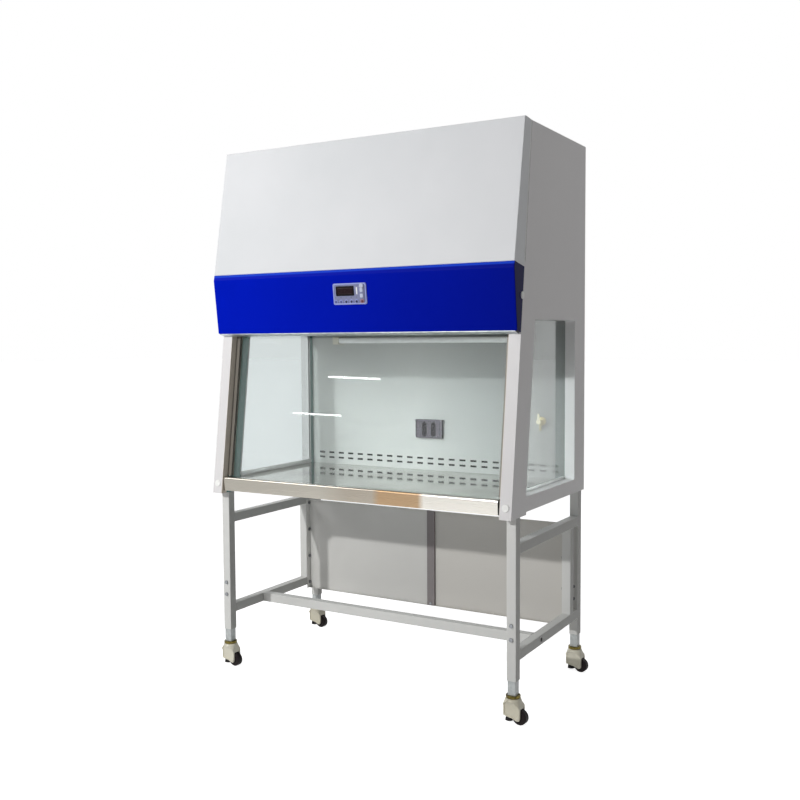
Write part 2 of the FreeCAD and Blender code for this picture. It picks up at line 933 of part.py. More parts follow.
def roof_panel():
    """Flat lid over the walls with rows of intake slots."""
    front = slope_y(wall_top_height)
    roof = box(-half_width, half_width, front, rear_y, wall_top_height - sheet, wall_top_height)
    slots = []
    for x in grid(roof_slot_columns, roof_slot_pitch_x):
        for y in grid(roof_slot_rows, roof_slot_pitch_y):
            middle = roof_middle_y() + y
            slots.append(box(x - roof_slot_length / 2, x + roof_slot_length / 2,
                             middle - roof_slot_width / 2, middle + roof_slot_width / 2,
                             wall_top_height - sheet - 1, wall_top_height + 1))
    return roof.cut(Part.makeCompound(slots))


def prefilter():
    half_x = (roof_slot_columns * roof_slot_pitch_x) / 2 + prefilter_margin
    half_y = (roof_slot_rows * roof_slot_pitch_y) / 2 + prefilter_margin
    top = wall_top_height - sheet
    middle = roof_middle_y()
    frame = box(-half_x, half_x, middle - half_y, middle + half_y, top - prefilter_height, top)
    opening = box(-half_x + prefilter_frame, half_x - prefilter_frame,
                  middle - half_y + prefilter_frame, middle + half_y - prefilter_frame,
                  top - prefilter_height - 1, top + 1)
    pad = box(-half_x + prefilter_frame, half_x - prefilter_frame,
              middle - half_y + prefilter_frame, middle + half_y - prefilter_frame,
              top - prefilter_height + prefilter_pad_inset, top - prefilter_pad_inset)
    return frame.cut(opening), pad


# Sash and its balance

sash_foot_s = slope_s(work_height + sash_foot_gap, sash_setback + sash_thickness)
sash_top_s = sash_foot_s + sash_length
carriage_x = inner_x - guide_depth - carriage_inset


def sash_glass():
    half = inner_x - sash_end_gap
    return leaned(box(-half, half, sash_setback, sash_setback + sash_thickness,
                      sash_foot_s, sash_top_s))


def sash_guide():
    """Channel that the sash's edge and its shoe run in, open towards the middle."""
    near = sash_middle - guide_depth / 2
    far = sash_middle + guide_depth / 2
    slot = sash_thickness / 2 + guide_side_gap
    foot = slope_s(nose_top_height + sash_foot_gap, far)
    top = slope_s(guide_top_height, sash_middle)
    channel = box(inner_x - guide_depth, inner_x, near, far, foot, top)
    groove = box(inner_x - guide_depth - 1, inner_x - guide_wall, sash_middle - slot,
                 sash_middle + slot, foot - 1, top + 1)
    return leaned(channel.cut(groove))


def sash_carriage():
    """Clamp on the glass's top edge with a shoe that reaches into the guide."""
    low = sash_top_s - carriage_lap
    high = low + carriage_height
    half = carriage_thickness / 2
    clamp = box(carriage_x - carriage_width / 2, carriage_x + carriage_width / 2,
                sash_middle - half, sash_middle + half, low, high)
    clamp = fillet_along(clamp, carriage_corner_radius, lambda edge: runs_along(edge, up))
    clamp = clamp.cut(box(0, inner_x, sash_setback, sash_setback + sash_thickness, low - 1, sash_top_s))
    play = sash_thickness / 2 + guide_side_gap - shoe_play
    shoe = box(carriage_x, inner_x - guide_wall - shoe_play, sash_middle - play, sash_middle + play,
               sash_top_s + 1, sash_top_s + shoe_length)
    return leaned(clamp.fuse(shoe))


front_pulley_behind = sash_middle + pulley_radius
front_pulley_y = slope_y(pulley_axle_height, front_pulley_behind)
duct_middle_y = (inner_back_y + rear_y - sheet) / 2
rear_pulley_y = duct_middle_y - pulley_radius


def pulley_shaft(y):
    """Cross shaft with one grooved pulley at each end, so that both sides of the sash move alike."""
    outer = pulley_radius + pulley_rim
    groove = pulley_radius - cable_radius
    half = pulley_width / 2
    profile = [
        point(-half, 0, pulley_shaft_radius - 1),
        point(-half, 0, outer),
        point(-half + pulley_rim_width, 0, outer),
        point(-cable_radius, 0, groove),
        point(cable_radius, 0, groove),
        point(half - pulley_rim_width, 0, outer),
        point(half, 0, outer),
        point(half, 0, pulley_shaft_radius - 1),
    ]
    wheel = face_from(profile).revolve(point(0, 0, 0), right, 360)
    end = inner_x - bracket_gap
    shaft = rod(pulley_shaft_radius, point(-end, 0, 0), right, 2 * end)
    for side in (-1, 1):
        pulley = wheel.copy()
        pulley.translate(point(side * carriage_x, 0, 0))
        shaft = shaft.fuse(pulley)
    shaft.translate(point(0, y, pulley_axle_height))
    return shaft


def pulley_bracket(y):
    """Plate on the wall's inner face with a boss that the cross shaft turns in."""
    half = bracket_half_height
    face = inner_x - bracket_gap
    plate = box(inner_x - bracket_thickness, inner_x, y - half, y + half,
                pulley_axle_height - half, pulley_axle_height + half)
    boss = rod(pulley_shaft_radius * 2, point(inner_x - 3 * bracket_thickness, y, pulley_axle_height),
               right, 2.5 * bracket_thickness)
    bore = rod(pulley_shaft_radius + shaft_play,
               point(inner_x - 3 * bracket_thickness - 1, y, pulley_axle_height), right,
               face - inner_x + 3 * bracket_thickness + 1)
    return plate.fuse(boss).cut(bore)


def sash_cable():
    """Cable from the carriage up to the front pulley, over both pulleys, down to its weight."""
    z = pulley_axle_height
    r = pulley_radius
    front = point(carriage_x, front_pulley_y, z)
    rear = point(carriage_x, rear_pulley_y, z)
    leave = front + point(0, -r * lean_cos, r * lean_sin)
    run = slope_s(z, front_pulley_behind) - (sash_top_s - carriage_lap + carriage_height)
    start = leave - point(0, lean_sin, lean_cos) * run
    front_bend = math.radians(45 + lean_angle / 2)
    front_middle = front + point(0, -r * math.cos(front_bend), r * math.sin(front_bend))
    rear_bend = math.radians(45)
    rear_middle = rear + point(0, r * math.cos(rear_bend), r * math.sin(rear_bend))
    edges = [
        Part.LineSegment(start, leave),
        Part.Arc(leave, front_middle, front + up * r),
        Part.LineSegment(front + up * r, rear + up * r),
        Part.Arc(rear + up * r, rear_middle, rear + back * r),
        Part.LineSegment(rear + back * r, point(carriage_x, duct_middle_y, weight_top_height)),
    ]
    path = Part.Wire([edge.toShape() for edge in edges])
    section = Part.Wire(Part.makeCircle(cable_radius, start, leave - start))
    return path.makePipeShell([section], True, True)


def counterweight():
    body = box(carriage_x - weight_width / 2, carriage_x + weight_width / 2,
               duct_middle_y - weight_depth / 2, duct_middle_y + weight_depth / 2,
               weight_top_height - weight_height, weight_top_height)
    return fillet_along(body, weight_corner_radius, lambda edge: runs_along(edge, up))


# Lamps, socket and tap in the chamber

wall_face_y = inner_back_y - sheet
uv_y = wall_face_y - uv_from_wall


def uv_lamp():
    return rod(tube_radius, point(-uv_length / 2, uv_y, uv_height), right, uv_length)


def uv_holder():
    inner = uv_length / 2 - holder_width
    outer = inner + uv_holder_width
    block = box(inner, outer, uv_y - tube_radius - uv_holder_wall, wall_face_y,
                uv_height - uv_holder_half_height, uv_height + uv_holder_half_height)
    block = fillet_along(block, holder_corner_radius,
                         lambda edge: runs_along(edge, right) and edge.CenterOfMass.y < uv_y)
    return block.cut(rod(tube_radius, point(0, uv_y, uv_height), right, uv_length / 2))


def socket_box():
    half = socket_width / 2
    foot = socket_middle_height - socket_height / 2
    top = socket_middle_height + socket_height / 2
    body = rounded_block(-half, half, wall_face_y - socket_depth, wall_face_y, foot, top,
                         socket_corner_radius)
    for x in grid(socket_port_count, socket_port_pitch):
        port = rounded_block(x - socket_port_width / 2, x + socket_port_width / 2,
                             wall_face_y - socket_depth - 1,
                             wall_face_y - socket_depth + socket_port_depth,
                             socket_middle_height - socket_port_height / 2 - socket_port_drop,
                             socket_middle_height + socket_port_height / 2 - socket_port_drop,
                             socket_port_width * port_end_share)
        body = body.cut(port)
    for side in (-1, 1):
        x0 = side * (lid_width / 2 + lid_gap + lid_ear_width / 2) - lid_ear_width / 2
        reach = lid_pin_radius + lid_ear_wall
        ear = box(x0, x0 + lid_ear_width, lid_axle_y - reach, wall_face_y,
                  lid_axle_z - reach, lid_axle_z + reach)
        hole = rod(lid_pin_radius + shaft_play, point(x0 - 1, lid_axle_y, lid_axle_z), right,
                   lid_ear_width + 2)
        body = body.fuse(ear).cut(hole)
    return body


lid_axle_y = wall_face_y - socket_depth - lid_gap - lid_pin_radius - lid_barrel_wall
lid_axle_z = socket_middle_height + socket_height / 2 - lid_axle_drop


def socket_lid():
    """Hinged cover: a shallow shell below its hinge barrel, with a pin end on each side."""
    half = lid_width / 2
    top = lid_axle_z
    foot = top - lid_height
    shell_rear = wall_face_y - socket_depth - lid_gap
    shell_front = shell_rear - lid_depth
    shell = rounded_block(-half, half, shell_front, shell_rear, foot, top, lid_corner_radius)
    shell = shell.cut(box(-half + lid_wall, half - lid_wall, shell_front + lid_wall, shell_rear + 1,
                          foot + lid_wall, top - lid_wall))
    barrel = rod(lid_pin_radius + lid_barrel_wall, point(-half, lid_axle_y, lid_axle_z), right, 2 * half)
    reach = lid_gap + lid_ear_width
    pin = rod(lid_pin_radius, point(-half - reach, lid_axle_y, lid_axle_z), right, 2 * (half + reach))
    return shell.fuse([barrel, pin])


tap_face_y = wall_face_y - tap_body_length


def gas_tap_body():
    axle = point(tap_x, tap_face_y, tap_height)
    body = rod(tap_body_radius, axle, back, tap_body_length)
    flange = rod(tap_flange_radius, point(tap_x, wall_face_y - tap_flange_thickness, tap_height), back,
                 tap_flange_thickness)
    middle = point(tap_x, tap_face_y + tap_body_length / 2, tap_height)
    nozzle_foot = middle - up * (tap_body_radius + tap_nozzle_length - tap_nozzle_lap)
    nozzle = rod(tap_nozzle_radius, nozzle_foot, up, tap_nozzle_length)
    body = body.fuse([flange, nozzle])
    for i in range(tap_barb_count):
        barb_foot = nozzle_foot + up * (1 + tap_barb_pitch * i)
        body = body.fuse(Part.makeCone(tap_nozzle_radius, tap_nozzle_radius + tap_barb_rise,
                                       tap_barb_length, barb_foot, up))
    bore = rod(tap_spindle_radius + shaft_play, axle - back, back,
               tap_spindle_length + tap_spindle_end_gap)
    return body.cut(bore)


def gas_tap_lever():
    face = tap_face_y - lid_gap
    hub = rod(tap_body_radius, point(tap_x, face - tap_lever_thickness, tap_height), back,
              tap_lever_thickness)
    arm = rounded_block(tap_x - tap_lever_width / 2, tap_x + tap_lever_width / 2,
                        face - tap_lever_thickness, face, tap_height,
                        tap_height + tap_lever_length, tap_lever_corner_radius)
    spindle = rod(tap_spindle_radius, point(tap_x, face - 1, tap_height), back, tap_spindle_length)
    return hub.fuse([arm, spindle])


# Caps and the power inlet

def round_cap(radius, rise):
    """Flat-backed round cap with a bevelled rim."""
    cap = rod(radius, point(0, 0, 0), up, rise)
    rim = [edge for edge in cap.Edges if len(edge.Vertexes) == 1 and edge.CenterOfMass.z > rise / 2]
    return cap.makeChamfer(cap_bevel, rim)


def side_cap():
    cap = round_cap(side_cap_radius, side_cap_rise)
    cap.rotate(point(0, 0, 0), back, 90)
    cap.translate(point(half_width, slope_y(side_cap_height) - side_cap_before_seam, side_cap_height))
    return cap


def front_cap():
    cap = round_cap(front_cap_radius, front_cap_rise)
    cap.rotate(point(0, 0, 0), right, 90 - lean_angle)
    cap.translate(point(half_width - wall_thickness / 2, slope_y(front_cap_height), front_cap_height))
    return cap


def power_inlet():
    """Flanged appliance inlet with three pins in its well."""
    half = inlet_width / 2
    tall = inlet_tall / 2
    flange = rounded_block(inlet_x - half, inlet_x + half, rear_y, rear_y + inlet_flange_thickness,
                           inlet_height - tall, inlet_height + tall, inlet_corner_radius)
    well = box(inlet_x - half + inlet_flange, inlet_x + half - inlet_flange, rear_y - inlet_depth,
               rear_y, inlet_height - tall + inlet_flange, inlet_height + tall - inlet_flange)
    hollow = box(inlet_x - half + inlet_flange + inlet_wall, inlet_x + half - inlet_flange - inlet_wall,
                 rear_y - inlet_depth + inlet_wall, rear_y + inlet_flange_thickness + 1,
                 inlet_height - tall + inlet_flange + inlet_wall,
                 inlet_height + tall - inlet_flange - inlet_wall)
    body = flange.fuse(well).cut(hollow)
    for side in (-1, 0, 1):
        z = inlet_height + (inlet_pin_raise if side == 0 else -inlet_pin_drop)
        pin_root = point(inlet_x + side * inlet_pin_pitch, rear_y - inlet_depth + 1, z)
        body = body.fuse(rod(inlet_pin_radius, pin_root, back, inlet_pin_length))
    return body


# Stand

leg_outer_x = half_width - leg_side_inset
leg_inner_x = leg_outer_x - tube_size
leg_middle_x = leg_outer_x - tube_size / 2
front_leg_y = front_y + front_leg_setback
rear_leg_y = front_y + rear_leg_setback
post_y = front_y + post_setback
cross_bar_y = front_y + cross_bar_setback


def square_tube(x0, x1, y0, y1, z0, z1, axis):
    """Box section with rounded corners and its bore along the given axis."""
    wall = tube_wall
    margins = [wall, wall, wall]
    margins[axis] = -1
    mx, my, mz = margins
    along = (right, back, up)[axis]
    outer = fillet_along(box(x0, x1, y0, y1, z0, z1), tube_corner_radius,
                         lambda edge: runs_along(edge, along))
    return outer.cut(box(x0 + mx, x1 - mx, y0 + my, y1 - my, z0 + mz, z1 - mz))


def clamp_holes(y):
    radius = clamp_bolt_radius + clamp_bolt_play
    return [rod(radius, point(leg_middle_x, y - 1, z), back, tube_wall + 2) for z in clamp_bolt_heights]


def stand_frame():
    """Side frame: two legs, a post and two beams, welded where their faces meet."""
    lower_top = lower_beam_height + tube_size
    front_leg = square_tube(leg_inner_x, leg_outer_x, front_leg_y, front_leg_y + tube_size,
                            leg_foot_height, wall_foot_height - toe_drop, 2)
    rear_leg = square_tube(leg_inner_x, leg_outer_x, rear_leg_y, rear_leg_y + tube_size,
                           leg_foot_height, wall_foot_height, 2)
    front_leg = front_leg.cut(Part.makeCompound(clamp_holes(front_leg_y)))
    rear_leg = rear_leg.cut(Part.makeCompound(clamp_holes(rear_leg_y)))
    beams = []
    for z in (lower_beam_height, upper_beam_height):
        beams.append(square_tube(leg_inner_x, leg_outer_x, front_leg_y + tube_size, rear_leg_y,
                                 z, z + tube_size, 1))
    hole = rod(access_hole_radius, point(leg_outer_x - tube_wall - 1, cross_bar_y + tube_size / 2,
                                         lower_beam_height + tube_size / 2), right, tube_wall + 2)
    beams[0] = beams[0].cut(hole)
    post = square_tube(leg_inner_x, leg_outer_x, post_y, post_y + tube_size, lower_top,
                       upper_beam_height, 2)
    return [front_leg, rear_leg, post] + beams


def stand_cross_bar():
    return square_tube(-leg_inner_x, leg_inner_x, cross_bar_y, cross_bar_y + tube_size,
                       lower_beam_height, lower_beam_height + tube_size, 0)


def stand_back_panel():
    """Sheet with returned edges between the posts, and the flat post down its front."""
    face = front_y + panel_setback
    outer = box(-leg_inner_x, leg_inner_x, face - panel_flange, face, panel_foot_height,
                panel_top_height)
    inner = box(-leg_inner_x + sheet, leg_inner_x - sheet, face - panel_flange - 1, face - sheet,
                panel_foot_height - 1, panel_top_height + 1)
    panel = outer.cut(inner)
    lip = panel_flange / 2
    for z in (panel_foot_height, panel_top_height - sheet):
        panel = panel.fuse(box(-leg_inner_x, leg_inner_x, face - lip, face, z, z + sheet))
    rib = box(panel_post_x - panel_post_width / 2, panel_post_x + panel_post_width / 2,
              face - sheet - panel_post_depth, face - sheet, panel_foot_height + sheet,
              panel_top_height - sheet)
    return panel.fuse(rib)


def hex_head(radius, height):
    corners = [point(radius * math.cos(math.radians(60 * i)), radius * math.sin(math.radians(60 * i)), 0)
               for i in range(6)]
    return face_from(corners).extrude(up * height)


def clamp_bolt(y, z):
    """Hexagon bolt through the leg's front wall; its tip stops at the inner leg."""
    head = hex_head(bolt_head_radius, bolt_head_height)
    head.rotate(point(0, 0, 0), right, 90)
    head.translate(point(leg_middle_x, y, z))
    shank = rod(clamp_bolt_radius, point(leg_middle_x, y - 1, z), back, tube_wall + 1)
    return head.fuse(shank)


def stand_bolts():
    bolts = []
    for y in (front_leg_y, rear_leg_y):
        for z in clamp_bolt_heights:
            bolts.append(clamp_bolt(y, z))
    inner_face = leg_inner_x - sheet
    for z in panel_bolt_heights:
        head = hex_head(bolt_head_radius, bolt_head_height)
        head.rotate(point(0, 0, 0), back, -90)
        head.translate(point(inner_face, front_y + panel_bolt_setback, z))
        bolts.append(head)
    bolts += [mirrored(bolt) for bolt in bolts]
    face = front_y + panel_setback - sheet - panel_post_depth
    bolts.append(rod(post_bolt_radius, point(panel_post_x, face - post_bolt_rise, post_bolt_height),
                     back, post_bolt_rise))
    return bolts


# Telescopic legs and casters

corners = {
    "front_left": (-leg_middle_x, front_leg_y + tube_size / 2),
    "front_right": (leg_middle_x, front_leg_y + tube_size / 2),
    "rear_left": (-leg_middle_x, rear_leg_y + tube_size / 2),
    "rear_right": (leg_middle_x, rear_leg_y + tube_size / 2),
}
inner_leg_half = tube_size / 2 - tube_wall - inner_leg_play
ring_foot_height = inner_leg_foot_height - ring_height
hub_top_height = ring_foot_height - ring_gap


def inner_leg():
    """Inner tube, its closing plate, the zinc ring below it and the caster's stem."""
    half = inner_leg_half
    outer = box(-half, half, -half, half, inner_leg_foot_height, inner_leg_top_height)
    outer = fillet_along(outer, inner_leg_corner_radius, lambda edge: runs_along(edge, up))
    bore = half - inner_leg_wall
    tube = outer.cut(box(-bore, bore, -bore, bore, inner_leg_foot_height + inner_leg_plate,
                         inner_leg_top_height + 1))
    ring = rod(ring_radius, point(0, 0, ring_foot_height), up, ring_height)
    rims = [edge for edge in ring.Edges if len(edge.Vertexes) == 1]
    ring = ring.makeChamfer(ring_chamfer, rims)
    stem = rod(stem_radius, point(0, 0, stem_foot_height), up, ring_foot_height - stem_foot_height)
    return tube, ring.fuse(stem)


def housing_outline():
    """Side outline of the housing: nose over the pad, sloping roof, side arms down round the axle."""
    chin_height = pad_clearance + pad_height + pad_pocket_gap
    slant = math.radians(45)
    nose_foot = point(-housing_nose + housing_nose_slant, 0, chin_height + pad_pocket_gap)
    front = point(-housing_nose, 0, housing_nose_foot_height)
    nose_top = point(-housing_nose, 0, housing_nose_top_height)
    brow = point(-hub_radius, 0, hub_foot_height)
    crown_front = point(-hub_radius + housing_side_slant, 0, housing_shoulder_height)
    crown_rear = point(hub_radius - housing_side_slant, 0, housing_shoulder_height)
    tail = point(housing_tail, 0, housing_tail_height)
    haunch = point(wheel_trail + housing_boss_radius, 0, wheel_radius)
    heel = point(wheel_trail + housing_boss_radius * math.cos(slant), 0,
                 wheel_radius - housing_boss_radius * math.sin(slant))
    foot = point(wheel_trail, 0, wheel_radius - housing_boss_radius)
    chin = point(0, 0, chin_height)
    edges = Part.makePolygon([foot, chin, nose_foot, front, nose_top, brow, crown_front, crown_rear,
                              tail, haunch]).Edges
    edges.append(Part.Arc(haunch, heel, foot).toShape())
    return Part.Face(Part.Wire(edges))


def housing_plan():
    """Block with the housing's plan: straight sides and rounded front corners."""
    half = housing_half_width
    block = box(-housing_nose, 2 * housing_tail, -half, half, 0, inner_leg_foot_height)
    return fillet_along(block, housing_corner_radius,
                        lambda edge: runs_along(edge, up) and edge.CenterOfMass.x < 0)


def caster_housing():
    """Die-cast body with its wheel pocket, side recesses, stem bore and the wheel's axle."""
    half = housing_half_width
    body = housing_outline().extrude(back * (2 * half))
    body.translate(back * -half)
    body = body.common(housing_plan())
    for side in (-1, 1):
        middle = side * half
        body = body.cut(rounded_block(-housing_recess_front, housing_recess_rear,
                                      middle - housing_recess_depth, middle + housing_recess_depth,
                                      housing_recess_foot_height, housing_recess_top_height,
                                      housing_recess_radius))
    skirt = Part.makeCone(hub_foot_radius, hub_radius, hub_top_height - hub_bevel - hub_foot_height,
                          point(0, 0, hub_foot_height), up)
    crown = Part.makeCone(hub_radius, hub_radius - hub_bevel, hub_bevel,
                          point(0, 0, hub_top_height - hub_bevel), up)
    body = body.fuse([skirt, crown])
    axle = point(wheel_trail, -half - axle_cap_rise, wheel_radius)
    pocket_half = wheel_width / 2 + wheel_gap
    pocket_radius = wheel_radius + wheel_pocket_gap
    body = body.cut(rod(pocket_radius, point(wheel_trail, -pocket_half, wheel_radius), back,
                        2 * pocket_half))
    body = body.cut(rod(pad_screw_radius + shaft_play, point(-pad_lead, 0, 0), up,
                        pad_screw_top + pad_screw_end_gap))
    body = body.cut(rod(stem_radius + shaft_play, point(0, 0, stem_foot_height - stem_end_gap), up,
                        hub_top_height))
    pin = rod(axle_radius, axle + back, back, 2 * (half + axle_cap_rise) - 2)
    cap = rod(axle_radius + axle_cap_lap, axle, back, axle_cap_rise)
    return body.fuse([pin, cap, cap.mirror(point(0, 0, 0), back)])


def caster_wheel():
    """Solid tread with bevelled edges, bored for the axle."""
    half = wheel_width / 2
    bore = axle_radius + shaft_play
    profile = [(-half, bore), (-half, wheel_radius - wheel_edge), (-half + wheel_edge, wheel_radius)]
    profile += [(-y, radius) for y, radius in reversed(profile)]
    wheel = face_from([point(0, y, radius) for y, radius in profile]).revolve(point(0, 0, 0), back, 360)
    wheel.translate(point(wheel_trail, 0, wheel_radius))
    return wheel


def levelling_pad():
    """Rubber foot with its screw."""
    foot = Part.makeCone(pad_radius, pad_radius - pad_taper, pad_height,
                         point(-pad_lead, 0, pad_clearance), up)
    screw = rod(pad_screw_radius, point(-pad_lead, 0, pad_clearance + pad_height - 1), up,
                pad_screw_top - pad_clearance - pad_height + 1)
    return foot.fuse(screw)


def at_corner(shape, corner, angle=0.0):
    moved = shape.copy()
    moved.rotate(point(0, 0, 0), up, angle)
    moved.translate(point(corner[0], corner[1], 0))
    return moved


# Writing the parts

os.makedirs("parts", exist_ok=True)

save("side_wall_right", side_wall())
save("side_wall_left", mirrored(side_wall()))
save("window_glass", window_pane(), mirrored(window_pane()))
save("window_gaskets", window_gasket(), mirrored(window_gasket()))
save("front_cover", front_cover())
save("valance", valance())
save("control_plate", control_plate())
save("display_window", display_window())
save("power_button", power_button())
save("light_tray", light_tray())
save("lamp_holders", light_socket(), mirrored(light_socket()), uv_holder(), mirrored(uv_holder()))
save("light_tube", light_tube())
save("uv_lamp", uv_lamp())
save("work_surface", work_surface())
save("base_pan", base_pan())
save("inner_back_wall", inner_back_wall())
save("rear_panel", rear_panel())
save("plenum_box", plenum_box())
save("diffuser_plate", diffuser_plate())
save("hepa_filter", *hepa_filter())
save("blower_housing", blower_housing())
save("impeller", impeller())
save("blower_motor", blower_motor())
save("roof_panel", roof_panel())
save("prefilter", *prefilter())
save("sash_glass", sash_glass())
save("sash_guides", sash_guide(), mirrored(sash_guide()))
save("sash_carriages", sash_carriage(), mirrored(sash_carriage()))
save("front_pulley_shaft", pulley_shaft(front_pulley_y))
save("rear_pulley_shaft", pulley_shaft(rear_pulley_y))
brackets = [pulley_bracket(y) for y in (front_pulley_y, rear_pulley_y)]
save("pulley_brackets", *(brackets + [mirrored(bracket) for bracket in brackets]))
save("sash_cables", sash_cable(), mirrored(sash_cable()))
save("counterweights", counterweight(), mirrored(counterweight()))
save("socket_box", socket_box())
save("socket_lid", socket_lid())
save("gas_tap_body", gas_tap_body())
save("gas_tap_lever", gas_tap_lever())
save("screw_caps", side_cap(), mirrored(side_cap()), front_cap(), mirrored(front_cap()))
save("power_inlet", power_inlet())
save("stand_frame_right", *stand_frame())
save("stand_frame_left", *[mirrored(tube) for tube in stand_frame()])
save("stand_cross_bar", stand_cross_bar())
save("stand_back_panel", stand_back_panel())
save("stand_bolts", *stand_bolts())
for name, corner in corners.items():
    tube, ring = inner_leg()
    save("inner_leg_" + name, at_corner(tube, corner), at_corner(ring, corner))
    save("caster_housing_" + name, at_corner(caster_housing(), corner, trail_angle))
    save("caster_wheel_" + name, at_corner(caster_wheel(), corner, trail_angle))
    save("levelling_pad_" + name, at_corner(levelling_pad(), corner, trail_angle))
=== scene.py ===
import math

import bpy
import numpy as np
from mathutils import Matrix


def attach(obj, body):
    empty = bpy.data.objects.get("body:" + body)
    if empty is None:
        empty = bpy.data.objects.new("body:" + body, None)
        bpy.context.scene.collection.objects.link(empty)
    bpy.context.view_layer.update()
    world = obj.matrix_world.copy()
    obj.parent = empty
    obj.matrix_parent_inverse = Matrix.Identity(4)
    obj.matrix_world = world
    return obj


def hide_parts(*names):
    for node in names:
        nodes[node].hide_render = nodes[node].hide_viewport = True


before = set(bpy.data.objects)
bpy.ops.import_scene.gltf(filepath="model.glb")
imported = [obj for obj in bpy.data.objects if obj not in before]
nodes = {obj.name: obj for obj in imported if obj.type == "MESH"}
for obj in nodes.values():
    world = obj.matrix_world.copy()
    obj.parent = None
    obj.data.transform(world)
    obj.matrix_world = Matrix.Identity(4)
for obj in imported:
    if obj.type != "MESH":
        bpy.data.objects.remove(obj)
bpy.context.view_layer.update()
print("frame loaded:", len(nodes), "nodes")


def linear(hexColour):
    # sRGB hex to linear light: c / 12.92 up to 0.04045, and ((c + 0.055) / 1.055) ^ 2.4 above
    c = np.array([int(hexColour[i:i + 2], 16) for i in (0, 2, 4)]) / 255
    return (*np.where(c <= 0.04045, c / 12.92, ((c + 0.055) / 1.055) ** 2.4), 1.0)


def perMetre(sizeMm):   # texture scale at which one feature is sizeMm long
    return 1000.0 / sizeMm


def addNode(tree, kind, settings=None, links=None):   # a node with its settings and what feeds it
    node = tree.nodes.new(kind)
    for key, value in (settings or {}).items():
        if isinstance(key, int) or key in node.inputs:
            node.inputs[key].default_value = value
        else:
            setattr(node, key, value)
    for key, source in (links or {}).items():
        tree.links.new(source, node.inputs[key])
    return node


def startMaterial(name, shader):   # a Principled shader on its output, and the place in metres
    material = bpy.data.materials.new(name)
    material.use_nodes = True
    tree = material.node_tree
    tree.nodes.clear()
    surface = addNode(tree, "ShaderNodeBsdfPrincipled", shader)
    addNode(tree, "ShaderNodeOutputMaterial", {}, {"Surface": surface.outputs[0]})
    place = addNode(tree, "ShaderNodeTexCoord").outputs["Object"]
    return material, tree, surface, place


def outputOf(tree):   # a material's output node
    return next(node for node in tree.nodes if node.type == "OUTPUT_MATERIAL")


def cloud(tree, place, sizeMm, detail=2.0, stretch=(1, 1, 1)):
    # noise from 0 to 1 whose blotches are sizeMm long, drawn out along an axis with a stretch below 1
    spread = addNode(tree, "ShaderNodeMapping", {"Scale": stretch}, {"Vector": place})
    settings = {"Scale": perMetre(sizeMm), "Detail": detail, "Roughness": 0.55}
    return addNode(tree, "ShaderNodeTexNoise", settings, {"Vector": spread.outputs[0]}).outputs["Fac"]


def between(tree, amount, low, high, start=0.3, stop=0.7):   # amount from start..stop to low..high
    settings = {"From Min": start, "From Max": stop, "To Min": low, "To Max": high}
    return addNode(tree, "ShaderNodeMapRange", settings, {"Value": amount}).outputs["Result"]


def blendColours(tree, amount, first, second):   # two sRGB hex colours or sockets, mixed by amount
    mix = addNode(tree, "ShaderNodeMix", {"data_type": "RGBA"}, {0: amount})
    for slot, colour in ((6, first), (7, second)):
        if isinstance(colour, str):
            mix.inputs[slot].default_value = linear(colour)
        else:
            tree.links.new(colour, mix.inputs[slot])
    return mix.outputs[2]


def shadeAlong(tree, place, tone, shades):
    # each shade (direction, start, stop, colour) takes the tone over to its colour, from start to stop
    # metres along the direction
    for direction, start, stop, colour in shades:
        settings = {"operation": "DOT_PRODUCT", 1: direction}
        along = addNode(tree, "ShaderNodeVectorMath", settings, {0: place}).outputs["Value"]
        tone = blendColours(tree, between(tree, along, 0, 1, start, stop), tone, colour)
    return tone


def addRelief(tree, surface, height, depthMm, strength=1.0):   # bump from a height of 0 to 1
    settings = {"Strength": strength, "Distance": depthMm / 1000}
    bump = addNode(tree, "ShaderNodeBump", settings, {"Height": height})
    tree.links.new(bump.outputs[0], surface.inputs["Normal"])


def facing(tree, axis, start, stop):   # 0 to 1 as a face turns towards plus or minus an axis
    normal = addNode(tree, "ShaderNodeNewGeometry").outputs["Normal"]
    part = addNode(tree, "ShaderNodeSeparateXYZ", {}, {0: normal}).outputs[axis]
    size = addNode(tree, "ShaderNodeMath", {"operation": "ABSOLUTE"}, {0: part}).outputs[0]
    return between(tree, size, 0, 1, start, stop)


# A coat's grain: clouds of colour, patches of wear, orange peel and its depth in mm, and how strong it is
coatGrain = {"cloud": 420, "wear": 60, "peel": 2.5, "peelDepth": 0.05, "relief": 0.35}


def coatSkin(tree, surface, place, roughness, peelMm, relief):   # a coat's worn gloss and orange peel
    wear = cloud(tree, place, coatGrain["wear"], 4)
    worn = between(tree, wear, roughness - 0.05, roughness + 0.06, 0, 1)
    tree.links.new(worn, surface.inputs["Roughness"])
    addRelief(tree, surface, cloud(tree, place, peelMm, 1), coatGrain["peelDepth"], relief)


# Polyester powder coat, sprayed on steel sheet and baked: fine orange peel, a soft gloss, faint clouds;
# faces turned to either side along x can take a darker colour, a painted shade for the side the lamps
# reach less; enamel, anodised rail and the socket's plastic have the same skin with other values
def powderCoat(name, colour, cloudColour, roughness, specular=0.15, peelMm=coatGrain["peel"],
               sideShadeColour=None, shades=(), relief=coatGrain["relief"]):
    shader = {"Roughness": roughness, "Specular IOR Level": specular}
    material, tree, surface, place = startMaterial(name, shader)
    broad = cloud(tree, place, coatGrain["cloud"], 3)
    tone = blendColours(tree, between(tree, broad, 0, 1), colour, cloudColour)
    tone = shadeAlong(tree, place, tone, shades)
    # faces turned along x take the side colour: painted shade
    if sideShadeColour:
        tone = blendColours(tree, facing(tree, "X", 0.7, 0.95), tone, sideShadeColour)
    tree.links.new(tone, surface.inputs["Base Color"])
    coatSkin(tree, surface, place, roughness, peelMm, relief)
    return material
